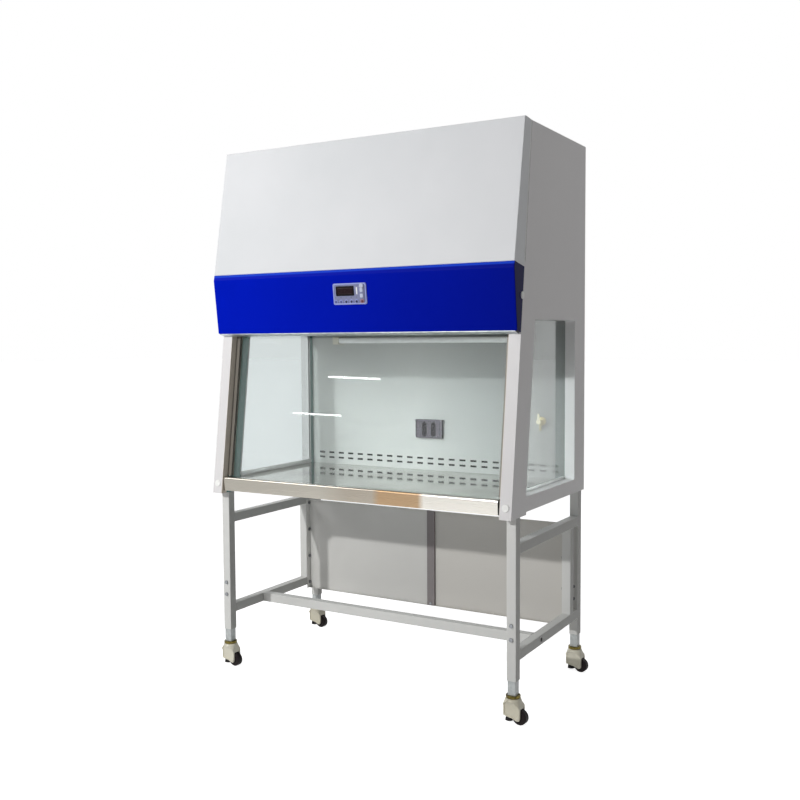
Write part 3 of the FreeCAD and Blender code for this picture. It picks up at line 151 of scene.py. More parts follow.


# Cold-rolled stainless sheet, ground along its length: fine lines and soft clouds, a folded front edge
# painted with the room's reflection in bands along it, and a level deck that years of wiping have polished
def brushedSheet(name, colour, cloudColour, roughness, cloudMm, shades=()):
    material, tree, surface, place = startMaterial(name, {"Metallic": 1.0})
    lines = cloud(tree, place, 3.2, 3, (0.012, 1, 1))
    blotch = cloud(tree, place, cloudMm, 2, (1, 1, 0.3))
    plain = blendColours(tree, between(tree, blotch, 0, 1), colour, cloudColour)
    # upright faces take the painted reflection bands; level faces keep the plain tone
    paintedReflection = shadeAlong(tree, place, plain, shades)
    level = facing(tree, "Z", 0.8, 0.98)
    tree.links.new(blendColours(tree, level, paintedReflection, plain), surface.inputs["Base Color"])
    ground = between(tree, lines, roughness - 0.06, roughness + 0.08)
    wiped = between(tree, lines, 0.03, 0.09)
    links = {0: level, 2: ground, 3: wiped}
    rough = addNode(tree, "ShaderNodeMix", {"data_type": "FLOAT"}, links).outputs[0]
    tree.links.new(rough, surface.inputs["Roughness"])
    addRelief(tree, surface, lines, 0.02, 0.12)
    return material


# Hot-dip zinc on sheet: large crystals that each shine a little differently
def spangledZinc(name):
    material, tree, surface, place = startMaterial(name, {"Metallic": 1.0})
    settings = {"Scale": perMetre(14)}
    crystals = addNode(tree, "ShaderNodeTexVoronoi", settings, {"Vector": place}).outputs["Color"]
    grey = addNode(tree, "ShaderNodeRGBToBW", {}, {0: crystals}).outputs[0]
    tree.links.new(blendColours(tree, grey, "9AA0A3", "C6CACC"), surface.inputs["Base Color"])
    tree.links.new(between(tree, grey, 0.32, 0.5, 0, 1), surface.inputs["Roughness"])
    return material


def passLamps(tree, surface, tint):   # rays from lamps go straight through glass, tinted
    clear = addNode(tree, "ShaderNodeBsdfTransparent", {"Color": linear(tint)})
    path = addNode(tree, "ShaderNodeLightPath")
    links = {0: path.outputs["Is Shadow Ray"], 1: surface.outputs[0], 2: clear.outputs[0]}
    mixed = addNode(tree, "ShaderNodeMixShader", {}, links)
    tree.links.new(mixed.outputs[0], outputOf(tree).inputs["Surface"])


# Float glass: clear faces, and a green depth that gathers towards the cut edges
def floatGlass(name, tint, green, density):
    shader = {"Roughness": 0.0, "IOR": 1.5, "Transmission Weight": 1.0, "Base Color": linear(tint)}
    material, tree, surface, place = startMaterial(name, shader)
    depth = {"Color": linear(green), "Density": density}
    absorbed = addNode(tree, "ShaderNodeVolumeAbsorption", depth).outputs[0]
    tree.links.new(absorbed, outputOf(tree).inputs["Volume"])
    wiped = between(tree, cloud(tree, place, 130, 3), 0.0, 0.025)
    tree.links.new(wiped, surface.inputs["Roughness"])   # faint smears of wiping
    passLamps(tree, surface, "F2F4F4")
    return material


# Injection-moulded plastic: even colour, a fine spark-eroded texture; rubber, silicone, filter paper and
# opal glass are made the same way with other values
def mouldedPlastic(name, colour, roughness, texture=0.9, coat=0.0, specular=0.5):
    shader = {"Coat Weight": coat, "Coat Roughness": 0.05, "Specular IOR Level": specular}
    material, tree, surface, place = startMaterial(name, shader)
    grain = cloud(tree, place, texture, 2)
    toned = addNode(tree, "ShaderNodeHueSaturation", {"Color": linear(colour)},
                    {"Value": between(tree, cloud(tree, place, 25, 2), 0.95, 1.04)})
    tree.links.new(toned.outputs[0], surface.inputs["Base Color"])
    tree.links.new(between(tree, grain, roughness - 0.05, roughness + 0.07), surface.inputs["Roughness"])
    addRelief(tree, surface, grain, 0.02, 0.4)
    return material


def keyPlastic(name, colour, coat=0.0):   # a key's plastic: a finer texture and a weaker shine
    return mouldedPlastic(name, colour, 0.3, 0.8, coat, 0.3)


# Turned or rolled metal with a plated skin: slight colour drift and small pits
def platedMetal(name, colour, driftColour, roughness):
    material, tree, surface, place = startMaterial(name, {"Metallic": 1.0})
    drift = cloud(tree, place, 9, 3)
    tree.links.new(blendColours(tree, between(tree, drift, 0, 1), colour, driftColour),
                   surface.inputs["Base Color"])
    fine = cloud(tree, place, 1.4, 2)
    tree.links.new(between(tree, fine, roughness - 0.07, roughness + 0.1), surface.inputs["Roughness"])
    addRelief(tree, surface, fine, 0.03, 0.3)
    return material


# Rear panel: white outside; on the side closing the return-air duct a dark primer, painted near black as
# shade
def primedInside(name, colour, cloudColour, primerAndShade, roughness):
    material, tree, surface, place = startMaterial(name, {"Specular IOR Level": 0.15})
    normal = addNode(tree, "ShaderNodeNewGeometry").outputs["Normal"]
    depth = addNode(tree, "ShaderNodeSeparateXYZ", {}, {0: normal}).outputs["Y"]
    inner = addNode(tree, "ShaderNodeMath", {"operation": "LESS_THAN", 1: -0.5}, {0: depth}).outputs[0]
    tone = blendColours(tree, cloud(tree, place, coatGrain["cloud"], 3), colour, cloudColour)
    tree.links.new(blendColours(tree, inner, tone, primerAndShade), surface.inputs["Base Color"])
    coatSkin(tree, surface, place, roughness, coatGrain["peel"], coatGrain["relief"])
    return material


acrossX, intoY, upZ = (1, 0, 0), (0, 1, 0), (0, 0, 1)
behindSash = (0, 1, -0.130)   # square to the leaning sash: -0.425 m is just behind its rails
finish = {
    "coatWhite": powderCoat("polyester_powder_white", "DFE0E2", "D8DADC", 0.42),
    # its inner side: dark primer, darkened further as painted shade of the closed duct
    "coatRear": primedInside("polyester_powder_rear_panel", "DFE0E2", "D8DADC", "0C0C0D", 0.42),
    # inner faces behind the sash are painted dark teal, a painted shade; in front of it taupe, outside white
    "coatWallRight": powderCoat("polyester_powder_right_wall", "DCD3C6", "D2C9BC", 0.42,
                                shades=[(behindSash, -0.427, -0.423, "66786F"),
                                        (acrossX, 0.606, 0.6064, "E1DFDF")]),
    "coatWallLeft": powderCoat("polyester_powder_left_wall", "DCD3C6", "D2C9BC", 0.42,
                               shades=[(behindSash, -0.427, -0.423, "648681"),
                                       (acrossX, -0.606, -0.6064, "E1DFDF")]),
    # the back wall is painted darker towards its right end, a painted shade
    "coatInside": powderCoat("polyester_powder_inside", "BFC1BE", "B7B9B6", 0.45, relief=0.08,
                             shades=[(acrossX, -0.05, 0.62, "797C7A"), (acrossX, 0.42, 0.64, "5C605E")]),
    # painted shade darkening the face to the right and the side returns, a painted highlight on the top fold
    "coatBlue": powderCoat("polyester_powder_blue", "001AC0", "0018B4", 0.3, 0.02, 3.0, "16164A",
                           [(acrossX, -0.65, 0.65, "02128E"), (upZ, 1.5765, 1.5795, "1E44CC")]),
    # the stand's faces turned along x are painted darker, a painted shade
    "coatGrey": powderCoat("polyester_powder_grey", "DBDBD8", "D3D3D0", 0.45, sideShadeColour="ADADAA"),
    # the post's band, 3 to 37 mm across, is painted dark for the shade on its side: painted shade
    "coatPanel": powderCoat("polyester_powder_back_panel", "D3D2CE", "CBCAC6", 0.45,
                            shades=[(acrossX, 0.0028, 0.003, "868080"), (acrossX, 0.0371, 0.0373, "CDCAC4"),
                                    (intoY, 0.2478, 0.2482, "CDCAC4")]),
    "castIvory": powderCoat("die_cast_ivory_enamel", "DEDAC9", "CCC6B2", 0.3, 0.4, 4.0),
    # the nose below the deck is painted with the room's reflection: darker, then brown, then bright to the
    # right
    "stainless": brushedSheet("ground_stainless_sheet", "D3D2CE", "A6A29A", 0.2, 260,
                              [(upZ, 0.7835, 0.7825, "A4A097"), (acrossX, -0.14, -0.02, "989186"),
                               (acrossX, 0.095, 0.125, "9C8468"), (acrossX, 0.285, 0.31, "C3C0B9")]),
    "zincSheet": spangledZinc("hot_dip_zinc_sheet"),
    "clearGlass": floatGlass("float_glass", "EEF2F2", "5E9A94", 4.0),
    "silicone": mouldedPlastic("white_silicone_bead", "F0F1EF", 0.35),
    "rubber": mouldedPlastic("moulded_black_rubber", "161516", 0.75, 1.2, 0.0, 0.2),
    "nylon": mouldedPlastic("moulded_black_nylon", "181112", 0.5, 1.0, 0.0, 0.12),
    "zincBolt": platedMetal("clear_passivated_zinc", "8F9193", "74777A", 0.32),
    "steel": platedMetal("drawn_bright_steel", "B4B6B8", "9EA1A3", 0.28),
    "aluminium": platedMetal("mill_aluminium_profile", "B3AFA8", "A29D96", 0.34),
    "satinRail": powderCoat("satin_anodised_aluminium", "858077", "7A756D", 0.4, 0.3, 1.5),
    "brass": platedMetal("nickel_plated_brass", "CFC59A", "B9AC7C", 0.25),
    "paper": mouldedPlastic("pleated_filter_paper", "E8E7DF", 0.85, 0.7),
    "opal": mouldedPlastic("opal_lamp_glass", "F1F2F2", 0.12, 2.0, 0.5),
    "holder": mouldedPlastic("moulded_lamp_holder", "D8D4C4", 0.45),
    # everything deeper than its front face, the ports' floors and the box's sides, is painted near black:
    # painted shade
    "socketBody": powderCoat("moulded_socket_grey", "848186", "7C797E", 0.4, 0.4, 1.2, None,
                             [(intoY, 0.2655, 0.2662, "0D0C0E")], 0.1),
    "tapCream": mouldedPlastic("moulded_tap_cream", "DAD2B4", 0.35),
    "capWhite": mouldedPlastic("moulded_cap_white", "F3F3F0", 0.4, 0.9, 0.0, 0.3),
    "blackPlastic": mouldedPlastic("moulded_black_plastic", "1B1B1D", 0.4),
    "panelFace": mouldedPlastic("moulded_panel_lilac_grey", "7E82A2", 0.4, 0.8, 0.0, 0.15),
    "keyBlue": keyPlastic("moulded_key_pale_blue", "8F97CF"),
    "keyDark": keyPlastic("moulded_key_dark", "242848"),
    "keyRed": keyPlastic("moulded_key_dull_red", "9A6F80"),
    "keyPale": keyPlastic("moulded_key_pale_grey", "BCC3D8", 0.1),
    "keyMid": keyPlastic("moulded_key_slate_blue", "555C92"),
    "keyRedDark": keyPlastic("moulded_key_brown_red", "5E3038"),
    "panelRim": mouldedPlastic("moulded_panel_rim", "99A2D6", 0.35, 0.8, 0.0, 0.2),
    "frameBlack": mouldedPlastic("moulded_frame_black", "08080C", 0.4, 0.9, 0.0, 0.1),
    "lampLens": mouldedPlastic("moulded_lamp_lens", "6D7A86", 0.2, 0.8, 0.2, 0.3),
    "displayDark": mouldedPlastic("smoked_display_acrylic", "1E0C12", 0.25, 4.0, 0.0, 0.12),
}
print("materials made:", len(finish))


# Smoked polycarbonate of the socket's lid: light passes, a little scattered
def smokedLid():
    shader = {"Base Color": linear("DAD8DC"), "Transmission Weight": 1.0, "IOR": 1.12}
    material, tree, surface, place = startMaterial("smoked_polycarbonate_lid", shader)
    grain = cloud(tree, place, 3, 2)
    tree.links.new(between(tree, grain, 0.0, 0.02), surface.inputs["Roughness"])
    passLamps(tree, surface, "D6D4D8")
    return material


# Galvanised tube under a thin grey coat above, yellow-passivated zinc ring below, parted at the tube's foot
def innerLeg(splitHeight):
    material, tree, surface, place = startMaterial("inner_leg_coat_and_zinc", {})
    height = addNode(tree, "ShaderNodeSeparateXYZ", {}, {0: place}).outputs["Z"]
    low = addNode(tree, "ShaderNodeMath", {"operation": "LESS_THAN", 1: splitHeight}, {0: height}).outputs[0]
    coat = blendColours(tree, between(tree, cloud(tree, place, 14, 4), 0, 1), "C8CCCB", "A9AEAE")
    zinc = blendColours(tree, between(tree, cloud(tree, place, 11, 3), 0, 1), "766A38", "3F371A")
    tree.links.new(blendColours(tree, low, coat, zinc), surface.inputs["Base Color"])
    tree.links.new(low, surface.inputs["Metallic"])
    rough = between(tree, cloud(tree, place, 6, 3), 0.3, 0.46)
    tree.links.new(rough, surface.inputs["Roughness"])
    addRelief(tree, surface, cloud(tree, place, coatGrain["peel"], 1), coatGrain["peelDepth"], 0.3)
    return material


tubeFoot = 0.10102   # metres above the floor
finish["smokedLid"] = smokedLid()
finish["innerLeg"] = innerLeg(tubeFoot)

corners = ("front_left", "front_right", "rear_left", "rear_right")
dressing = {
    "coatWhite": ["front_cover", "roof_panel"],
    "coatWallLeft": ["side_wall_left"],
    "coatWallRight": ["side_wall_right"],
    "coatRear": ["rear_panel"],
    "coatInside": ["inner_back_wall"],
    "coatBlue": ["valance"],
    "coatGrey": ["stand_frame_left", "stand_frame_right", "stand_cross_bar"],
    "coatPanel": ["stand_back_panel"],
    "stainless": ["work_surface"],
    "zincSheet": ["base_pan", "plenum_box", "blower_housing", "impeller", "light_tray"],
    "clearGlass": ["window_glass", "sash_glass"],
    "silicone": ["window_gaskets"],
    "zincBolt": ["stand_bolts", "counterweights"],
    "steel": ["blower_motor", "front_pulley_shaft", "rear_pulley_shaft", "pulley_brackets", "sash_cables"],
    "aluminium": ["diffuser_plate", "sash_carriages"],
    "satinRail": ["sash_guides"],
    "brass": ["gas_tap_body"],
    "paper": ["hepa_filter", "prefilter"],
    "opal": ["light_tube", "uv_lamp"],
    "holder": ["lamp_holders"],
    "socketBody": ["socket_box"],
    "smokedLid": ["socket_lid"],
    "tapCream": ["gas_tap_lever"],
    "capWhite": ["screw_caps"],
    "blackPlastic": ["power_inlet"],
    "panelFace": ["control_plate"],
    "keyPale": ["power_button"],
    "displayDark": ["display_window"],
    "innerLeg": ["inner_leg_" + corner for corner in corners],
    "castIvory": ["caster_housing_" + corner for corner in corners],
    "nylon": ["caster_wheel_" + corner for corner in corners],
    "rubber": ["levelling_pad_" + corner for corner in corners],
}
for material, names in dressing.items():
    for name in names:
        for slot in nodes[name].material_slots:
            slot.material = finish[material]
print("nodes dressed:", sum(len(names) for names in dressing.values()))


def addSurface(name, points, material, closed=False):
    # a grid of points, rows by columns, as quads; a closed one joins its last column to its first
    rows, columns = points.shape[:2]
    row = np.arange(rows - 1)[:, None] * columns
    column = np.arange(columns if closed else columns - 1)[None, :]
    below, beside = row + columns, (column + 1) % columns
    quads = np.stack([row + column, row + beside, below + beside, below + column], -1)
    mesh = bpy.data.meshes.new(name)
    mesh.from_pydata(points.reshape(-1, 3).tolist(), [], quads.reshape(-1, 4).tolist())
    mesh.validate()
    mesh.materials.append(material)
    piece = bpy.data.objects.new(name, mesh)
    bpy.context.scene.collection.objects.link(piece)
    return piece


def roundedOutline(width, height, radius, perCorner=7):
    # closed outline of a rounded rectangle: four corner centres, each with a quarter turn of the radius
    turn = np.linspace(0, 0.5 * np.pi, perCorner)[None, :] + np.arange(4)[:, None] * 0.5 * np.pi
    signX, signZ = np.array([1, -1, -1, 1])[:, None], np.array([1, 1, -1, -1])[:, None]
    x = signX * (width / 2 - radius) + radius * np.cos(turn)
    z = signZ * (height / 2 - radius) + radius * np.sin(turn)
    return np.stack([x.ravel(), z.ravel()], -1)


def ringStack(width, height, radius, steps, perCorner=7):
    # rings of a rounded rectangle, each drawn in and raised by a step; a step of None closes on the middle
    small = min(width, height) / 2
    rings = []
    for inset, rise in steps:
        if inset is None:
            ring = np.zeros_like(rings[0][:, :2])
        else:
            corner = max(radius - inset, 0.12 * (small - inset))   # a corner never gets quite sharp
            ring = roundedOutline(width - 2 * inset, height - 2 * inset, corner, perCorner)
        rings.append(np.concatenate([ring, np.full((len(ring), 1), rise)], 1))
    return np.stack(rings)


def turnedProfile(steps, columns=28):
    # a profile of radius and rise turned about its axis: x = r cos a, z = r sin a
    r, rise = np.array(steps, float).T
    angle = np.linspace(0, 2 * np.pi, columns, endpoint=False)
    return np.stack([
        r[:, None] * np.cos(angle),
        r[:, None] * np.sin(angle),
        rise[:, None] + 0 * angle,
    ], -1)


# The valance's face: its foot line, and how far it leans out towards the top
valanceFace = {"footY": -0.31254, "footZ": 1.355, "tilt": 6.586}


def onValance(points, x, up):
    # flat points (across, upward, outward) in mm, moved by x and up from the foot's middle onto the face
    tilt = math.radians(valanceFace["tilt"])
    across, height, outward = points[..., 0] + x, points[..., 1] + up, points[..., 2]
    y = -outward * math.cos(tilt) - height * math.sin(tilt)
    z = -outward * math.sin(tilt) + height * math.cos(tilt)
    return np.stack([
        across / 1000,
        y / 1000 + valanceFace["footY"],
        z / 1000 + valanceFace["footZ"],
    ], -1)


# Control panel: a moulded rim and face, a smoked display in a black frame, and a set of round keys;
# all in mm, across and up on the valance's face and outwards from it
panelSizes = {
    "middle": (-5.5, 142.5),   # across, and above the valance's foot
    "size": (146, 79, 7),   # width, height, corner radius
    "rim": [(0, -0.6), (0, 1.2), (0.5, 2.6), (1.6, 3.7), (3.2, 4.0), (4.6, 3.9), (5.8, 3.0), (6.2, 2.4)],
    "face": [(5.6, 2.0), (5.6, 2.7), (20, 2.75), (None, 2.8)],   # inset, rise
    "displayAt": (-20, 11),   # across and up from the panel's middle
    "displaySize": (76, 33, 1.5),
    "displayFrame": [(-1.5, 2.4), (-1.5, 3.5), (-0.8, 4.0), (2.6, 4.0), (3.2, 3.6), (3.3, 3.0)],
    "displayPane": [(3.0, 2.9), (3.0, 3.3), (9, 3.35), (None, 3.4)],
    "rowAcross": (-62, -39.3, -16.6, 6.1, 28.8),
    "rowUp": -28.5,
    "lampUp": -12.5,
    "collar": [(8.4, 2.2), (8.4, 3.0), (7.8, 3.7), (6.4, 3.9), (5.2, 3.6), (4.9, 3.0)],   # radius, rise
    "button": [(4.7, 2.4), (4.7, 3.6), (4.2, 4.2), (2.8, 4.55), (1.2, 4.7), (0, 4.72)],
    "lens": [(2.2, 2.4), (2.2, 3.2), (1.5, 3.7), (0, 3.9)],
    "stopAt": (53, -28.5),
    "stopSpread": (1.05, 1.05, 1),   # its collar against the others
    "padAcross": 51,
    "padUp": (-7.8, 12.9),
    "padSize": (13, 14, 3),
    "pad": [(0, 2.3), (0, 3.4), (0.6, 4.0), (1.6, 4.2), (3.4, 3.9), (None, 3.8)],
    "barAt": (31.5, 10.5),
    "barSize": (5.5, 27, 2.6),
    "bar": [(0, 2.4), (0, 3.1), (0.5, 3.6), (1.4, 3.9), (None, 4.0)],
    "powerAt": (53, 28.5),
    "power": [(8.8, 1.8), (8.8, 5.4), (8.2, 6.5), (7.0, 7.0), (4.6, 6.7), (2.2, 6.45), (0, 6.4)],
}


def finishPiece(piece, body, node):
    for polygon in piece.data.polygons:
        polygon.use_smooth = True
    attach(piece, body)
    if node:
        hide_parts(node)


def addPanel(sizes):
    x, up = sizes["middle"]

    def place(name, points, material, at=(0, 0), node="control_plate", body="cabinet"):
        placed = onValance(points, x + at[0], up + at[1])
        piece = addSurface(name, placed, finish[material], closed=True)
        finishPiece(piece, body, node)

    place("panel_rim", ringStack(*sizes["size"], sizes["rim"]), "panelRim")
    place("panel_face", ringStack(*sizes["size"], sizes["face"]), "panelFace")
    frameRings = ringStack(*sizes["displaySize"], sizes["displayFrame"])
    place("display_frame", frameRings, "frameBlack", sizes["displayAt"])
    paneRings = ringStack(*sizes["displaySize"], sizes["displayPane"])
    place("display_pane", paneRings, "displayDark", sizes["displayAt"], "display_window")

    collar, button = turnedProfile(sizes["collar"]), turnedProfile(sizes["button"])
    lens = turnedProfile(sizes["lens"], 16)
    for i, across in enumerate(sizes["rowAcross"]):
        at = (across, sizes["rowUp"])
        place(f"row_key_collar_{i}", collar, "keyBlue", at)
        place(f"row_key_button_{i}", button, "keyDark" if i > 1 else "keyMid", at)
        place(f"row_lamp_{i}", lens, "lampLens", (across, sizes["lampUp"]))
    place("stop_key_collar", collar * sizes["stopSpread"], "keyRed", sizes["stopAt"])
    place("stop_key_button", button, "keyRedDark", sizes["stopAt"])
    pad = ringStack(*sizes["padSize"], sizes["pad"], 5)
    for i, above in enumerate(sizes["padUp"]):
        place(f"column_key_{i}", pad, "keyPale", (sizes["padAcross"], above))
    place("status_light_bar", ringStack(*sizes["barSize"], sizes["bar"], 5), "opal", sizes["barAt"])
    power = turnedProfile(sizes["power"], 36)
    place("power_key", power, "keyPale", sizes["powerAt"], "power_button", "power_button")


addPanel(panelSizes)
print("control panel made")


# Beads along straight joints: the cover's white hem with a black strip beside it, a painted shadow
# of the gap, on the wall's outer face, and the silicone fillet between the deck and the wall
outOfCover = (0, 0.993, -0.121)   # in the wall's face, square to the cover's leaning edge
beadSizes = {   # start and end in metres on the right side, half width and rise in mm
    "cover_hem": {"start": (0.650, -0.1899, 2.0721), "end": (0.650, -0.2489, 1.5881), "material": "capWhite",
                  "across": outOfCover, "out": (1, 0, 0), "halfWidth": 2.0, "rise": 1.2},
    # a thin black strip standing for the shadow in the gap between cover and wall: painted shadow
    "cover_gap_shade": {"start": (0.650, -0.1859, 2.0726), "end": (0.650, -0.2449, 1.5886), "material": "rubber",
                    "across": outOfCover, "out": (1, 0, 0), "halfWidth": 0.9, "rise": 0.3},
    "deck_fillet": {"start": (0.6045, -0.235, 0.7838), "end": (0.6045, 0.252, 0.7838), "material": "silicone",
                    "across": (1, 0, 0), "out": (0, 0, 1), "halfWidth": 5.5, "rise": 9.0},
}


def addBeads(sizes):
    # an ellipse (half width cos a across, rise sin a out) drawn along the joint, closed on its middle at
    # each end, and turned round where its faces would look inwards
    angle = np.linspace(0, 2 * np.pi, 18, endpoint=False)[None, :, None]
    reach = np.array([0, 1, 1, 0])[:, None, None]
    for kind, bead in sizes.items():
        start, end = bead["start"], bead["end"]
        across, out = np.array(bead["across"]), np.array(bead["out"])
        spread = bead["halfWidth"] * np.cos(angle) * across + bead["rise"] * np.sin(angle) * out
        points = np.array([start, start, end, end])[:, None, :] + reach * spread / 1000
        for side, sign in (("right", 1), ("left", -1)):
            placed = points * (sign, 1, 1)
            if np.dot(np.cross(across, out), np.subtract(end, start)) * sign < 0:
                placed = placed[:, ::-1]
            piece = addSurface(f"{kind}_{side}", placed, finish[bead["material"]], closed=True)
            finishPiece(piece, "cabinet", None)


addBeads(beadSizes)
print("beads made")


# Caster bodies: one smooth die-cast form each, hub above, two arms that leave half of the wheel open;
# (along, up) in mm from the swivel's axis and the floor, and the wheel behind the axis
casterSizes = {
    "corners": {"front_left": (-0.629, -0.293), "front_right": (0.629, -0.293),
                "rear_left": (-0.629, 0.322), "rear_right": (0.629, 0.322)},   # metres
    "turn": -5.0,   # degrees
    "roof": [(-14, 24.5), (-28, 27.5), (-32, 31), (-33, 36), (-33, 52), (-31, 60), (-29, 72), (-28, 84),
             (-27, 88), (-24.5, 90.1), (24.5, 90.1), (27, 88), (28.5, 82), (31, 72), (34, 63)],
    "arm": [(34, 63), (35.5, 56), (35.5, 27), (34, 20), (30, 15.5), (24, 14.5), (14, 18), (4, 22.5),
            (-14, 24.5)],
    "armInner": 14.02,   # the arm's inner face, from the middle
    "armRings": [   # share of the arm's width, inset, drawn towards the core, sunk into the side
        (1, 0, 0, 2.0), (1, 0, 0.35, 2.0), (1, 0, 0.74, 2.0), (1, 0, 0.78, 0), (1, 1.4, 1, 0),
        (1, 0.4, 1, 0.4), (1, 0, 1, 1.4), (0.8, 0, 1, 0), (0.55, 0, 1, 0), (0.28, 0, 1, 0), (0, 0, 1, 0),
    ],
    "core": (0, 46),
    "wheelMiddle": (28, 27),
    "pocketRadius": 29.5,
    "pocketArc": (78, 184),   # degrees about the wheel's middle
    "pocketFoot": (-1.3, 24.5),
    "pocketAcross": (13.98, 9, 3),   # rings from the arm to the middle
    "halfWidth": ([0, 52, 60, 72, 82, 87, 90.1], [20, 20, 21, 25, 28, 27.5, 24.5]),   # at these heights
    "planRadius": ([0, 46, 52, 62, 72, 80, 86, 88, 90.1], [90, 60, 50, 43, 35, 30.5, 28.5, 27.5, 24.6]),
    "nose": {"front": 33, "half": 20, "radius": 9, "top": 62},
    "axleEnd": [(4, 19.0), (6.5, 19.0), (6.5, 20.8), (5.5, 21.6), (0, 21.6)],   # radius, from the middle
    "sharpAngle": 40,
}


def evenly(corners, count):   # count points at even steps along a broken line
    corners = np.array(corners, float)
    steps = np.concatenate([[0], np.cumsum(np.linalg.norm(np.diff(corners, axis=0), axis=1))])
    at = np.linspace(0, steps[-1], count)
    return np.stack([np.interp(at, steps, corners[:, 0]), np.interp(at, steps, corners[:, 1])], -1)


def casterBody(sizes):
    # side outlines laid side by side across the caster, u along, z up, v across: arms outside, pocket
    # between; the half width grows to the hub, and u is held inside the plan's circle u^2 + v^2 = R(z)^2
    angle = np.radians(np.linspace(*sizes["pocketArc"], 20))
    turned = np.stack([np.cos(angle), np.sin(angle)], -1)
    arc = np.array(sizes["wheelMiddle"]) + sizes["pocketRadius"] * turned
    wheelSide = [sizes["arm"][0], *arc.tolist(), sizes["pocketFoot"], sizes["roof"][0]]
    roof = evenly(sizes["roof"], 70)
    arm, pocket = (np.concatenate([roof, evenly(under, 44)[1:-1]]) for under in (sizes["arm"], wheelSide))
    inward = np.roll(arm, 1, 0) - np.roll(arm, -1, 0)
    inward = np.stack([-inward[:, 1], inward[:, 0]], -1)
    inward /= np.linalg.norm(inward, axis=1, keepdims=True)

    near = [(arm + inward * inset, share, draw, sunk) for share, inset, draw, sunk in sizes["armRings"]]
    near += [(pocket, across, 1, None) for across in sizes["pocketAcross"]]
    core, inner, nose = np.array(sizes["core"]), sizes["armInner"], sizes["nose"]
    rings = []
    for sign, order in ((-1, near), (1, near[::-1])):
        for outline, share, draw, sunk in order:
            flat = core + (outline - core) * draw
            half = np.interp(flat[:, 1], *sizes["halfWidth"])
            v = np.full(len(flat), share) if sunk is None else inner + share * (half - sunk - inner)
            reach = np.sqrt(np.maximum(np.interp(flat[:, 1], *sizes["planRadius"]) ** 2 - v ** 2, 0))
            corner = np.clip(v - (nose["half"] - nose["radius"]), 0, nose["radius"])
            front = nose["radius"] - nose["front"] - np.sqrt(nose["radius"] ** 2 - corner ** 2)
            foremost = np.where(flat[:, 1] < nose["top"], front, -reach)
            u = np.maximum(np.clip(flat[:, 0], -reach, reach), foremost)
            rings.append(np.stack([u, sign * v, flat[:, 1]], -1))
    return np.stack(rings)


def addCasters(sizes):
    turn = math.radians(sizes["turn"])
    spin = np.array([[math.cos(turn), math.sin(turn), 0], [-math.sin(turn), math.cos(turn), 0], [0, 0, 1]])
    body = casterBody(sizes)
    along, up = sizes["wheelMiddle"]
    end = sizes["axleEnd"]
    axle = turnedProfile([(radius, -away) for radius, away in end[::-1]] + end)
    axle = np.stack([axle[..., 0] + along, axle[..., 2], axle[..., 1] + up], -1)
    for corner, (x, y) in sizes["corners"].items():
        for kind, points in (("body", body), ("axle", axle[::-1])):
            placed = points @ spin / 1000 + (x, y, 0)
            piece = addSurface(f"caster_{kind}_{corner}", placed, finish["castIvory"], closed=True)
            piece.data.set_sharp_from_angle(angle=math.radians(sizes["sharpAngle"]))
            finishPiece(piece, "caster_" + corner, "caster_housing_" + corner)


addCasters(casterSizes)
print("caster bodies made")


def standAt(name, data, side, above, back, place):   # an object with these three axes, at a place
    thing = bpy.data.objects.new(name, data)
    axes = np.stack([side, above, back, place], 1)
    thing.matrix_world = Matrix([*axes.tolist(), [0, 0, 0, 1]])
    bpy.context.scene.collection.objects.link(thing)
    return thing


# Camera, at the photograph's own place and angle
cameraView = {
    "place": (1.94096, -3.31706, 1.31919),
    "yaw": 30.17,
    "pitch": -3.44,
    "roll": -0.34,
    "lens": 43.467,
    "farthest": 200,   # metres that it sees
}


def addCamera(settings):
    # forward = (-sin yaw cos pitch, cos yaw cos pitch, sin pitch), then a roll about it
    yaw, pitch, roll = (math.radians(settings[key]) for key in ("yaw", "pitch", "roll"))
    ahead = np.array([-math.sin(yaw) * math.cos(pitch), math.cos(yaw) * math.cos(pitch), math.sin(pitch)])
    side = np.array([math.cos(yaw), math.sin(yaw), 0])
    above = np.cross(side, ahead)
    rolledSide = math.cos(roll) * side + math.sin(roll) * above
    rolledAbove = -math.sin(roll) * side + math.cos(roll) * above
    data = bpy.data.cameras.new("photoCamera")
    data.lens = settings["lens"]
    data.clip_end = settings["farthest"]
    camera = standAt("photoCamera", data, rolledSide, rolledAbove, -ahead, settings["place"])
    bpy.context.scene.camera = camera


addCamera(cameraView)


# Studio: a pale floor that keeps the shadow, a white surround for the eye, for gloss and behind glass,
# soft lamps, and two thin bars that the sash mirrors
studio = {
    "ambient": 0.105,   # strength of the surround for diffuse light
    "floorGlow": 0.86,   # seen directly only, so that the floor stays white where no lamp reaches
    "floorReach": 60,   # metres each way
    "lamps": [   # name, width and height in metres, place, target, power in watts, lean in radians
        ("mainBox", (0.12, 0.12), (-1.35, -4.4, 2.64), (0, -0.3, 1.2), 116, 0),
        ("keyBox", (1.8, 1.8), (-3.0, -2.8, 3.6), (0, -0.2, 1.3), 50, 0),
        ("topBox", (1.6, 1.6), (0.95, 0.6, 4.8), (0, 0, 0.8), 16, 0),
        ("rearBox", (2.2, 2.2), (-1.0, 4.4, 3.2), (0, 0, 1.2), 16, 0),
        ("farBox", (1.6, 1.6), (4.2, 0.8, 2.6), (0.6, 0, 1.0), 11, 0),
        ("upperBar", (0.36, 0.011), (-1.66, -2.73, 1.722), (-0.035, -0.265, 1.185), 0.28, 0.09),
        ("lowerBar", (0.33, 0.010), (-1.91, -2.707, 1.455), (-0.19, -0.283, 1.043), 0.2, 0.08),
    ],
}


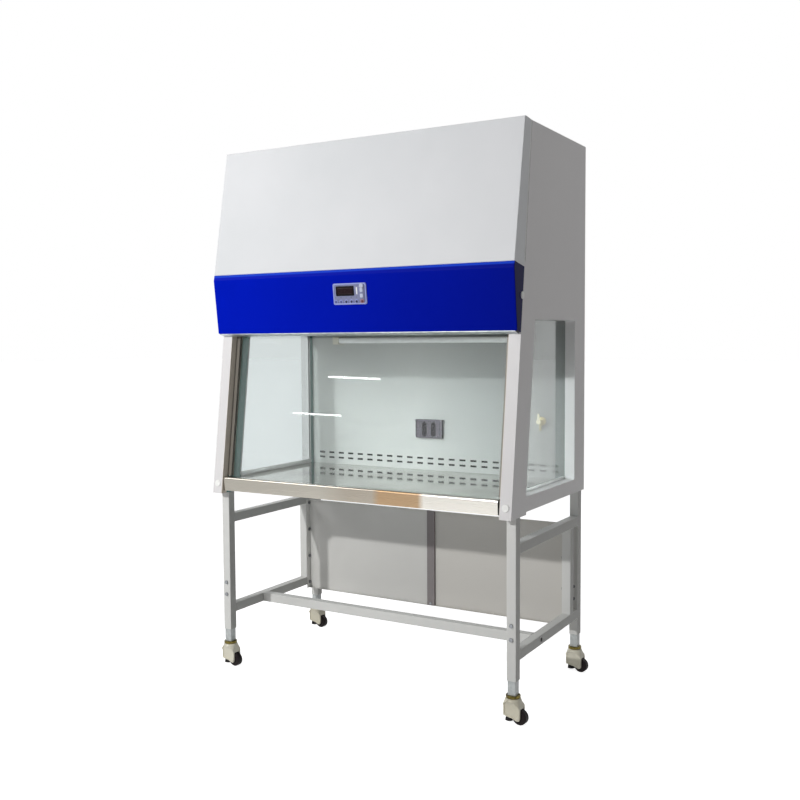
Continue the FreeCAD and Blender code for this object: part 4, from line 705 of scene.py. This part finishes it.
def seenDirectly(tree):   # 1 for rays from the camera, from gloss and through glass, else 0
    path = addNode(tree, "ShaderNodeLightPath")
    most = path.outputs["Is Camera Ray"]
    for name in ("Is Glossy Ray", "Is Transmission Ray"):
        settings = {"operation": "MAXIMUM"}
        most = addNode(tree, "ShaderNodeMath", settings, {0: most, 1: path.outputs[name]}).outputs[0]
    return most


def addSurround(settings):
    world = bpy.data.worlds.new("studioWorld")
    bpy.context.scene.world = world
    world.use_nodes = True
    tree = world.node_tree
    tree.nodes.clear()
    strength = between(tree, seenDirectly(tree), settings["ambient"], 1.0, 0, 1)
    background = addNode(tree, "ShaderNodeBackground", {"Color": (1, 1, 1, 1)}, {"Strength": strength})
    addNode(tree, "ShaderNodeOutputWorld", {}, {"Surface": background.outputs[0]})


# Studio paper, matt and nearly white
def floorPaper(glow):
    material, tree, surface, place = startMaterial("studio_floor_paper", {"Roughness": 0.9})
    fleck = cloud(tree, place, 700, 2)
    tree.links.new(blendColours(tree, fleck, "F2F2F2", "EFEFEF"), surface.inputs["Base Color"])
    light = addNode(tree, "ShaderNodeEmission", {"Color": (1, 1, 1, 1), "Strength": glow})
    both = addNode(tree, "ShaderNodeAddShader", {}, {0: surface.outputs[0], 1: light.outputs[0]})
    links = {0: seenDirectly(tree), 1: surface.outputs[0], 2: both.outputs[0]}
    shown = addNode(tree, "ShaderNodeMixShader", {}, links)
    tree.links.new(shown.outputs[0], outputOf(tree).inputs["Surface"])
    return material


def addFloor(settings):
    reach = settings["floorReach"]
    span = np.linspace(-reach, reach, 5)
    y, x = np.meshgrid(span, span, indexing="ij")
    floor = addSurface("studioFloor", np.stack([x, y, 0 * x], -1), floorPaper(settings["floorGlow"]))


def addLamps(settings):
    for name, size, place, target, power, lean in settings["lamps"]:
        data = bpy.data.lights.new(name, "AREA")
        data.shape = "RECTANGLE"
        data.size, data.size_y = size
        data.energy = power
        back = np.array(place, float) - np.array(target, float)
        back /= np.linalg.norm(back)
        side = np.cross((0, 0, 1), back)
        side /= np.linalg.norm(side)
        side = math.cos(lean) * side + math.sin(lean) * np.cross(back, side)
        standAt(name, data, side, np.cross(back, side), back, place)


addSurround(studio)
addFloor(studio)
addLamps(studio)
print("camera and studio ready")

scene = bpy.context.scene
scene.view_settings.view_transform = "Standard"
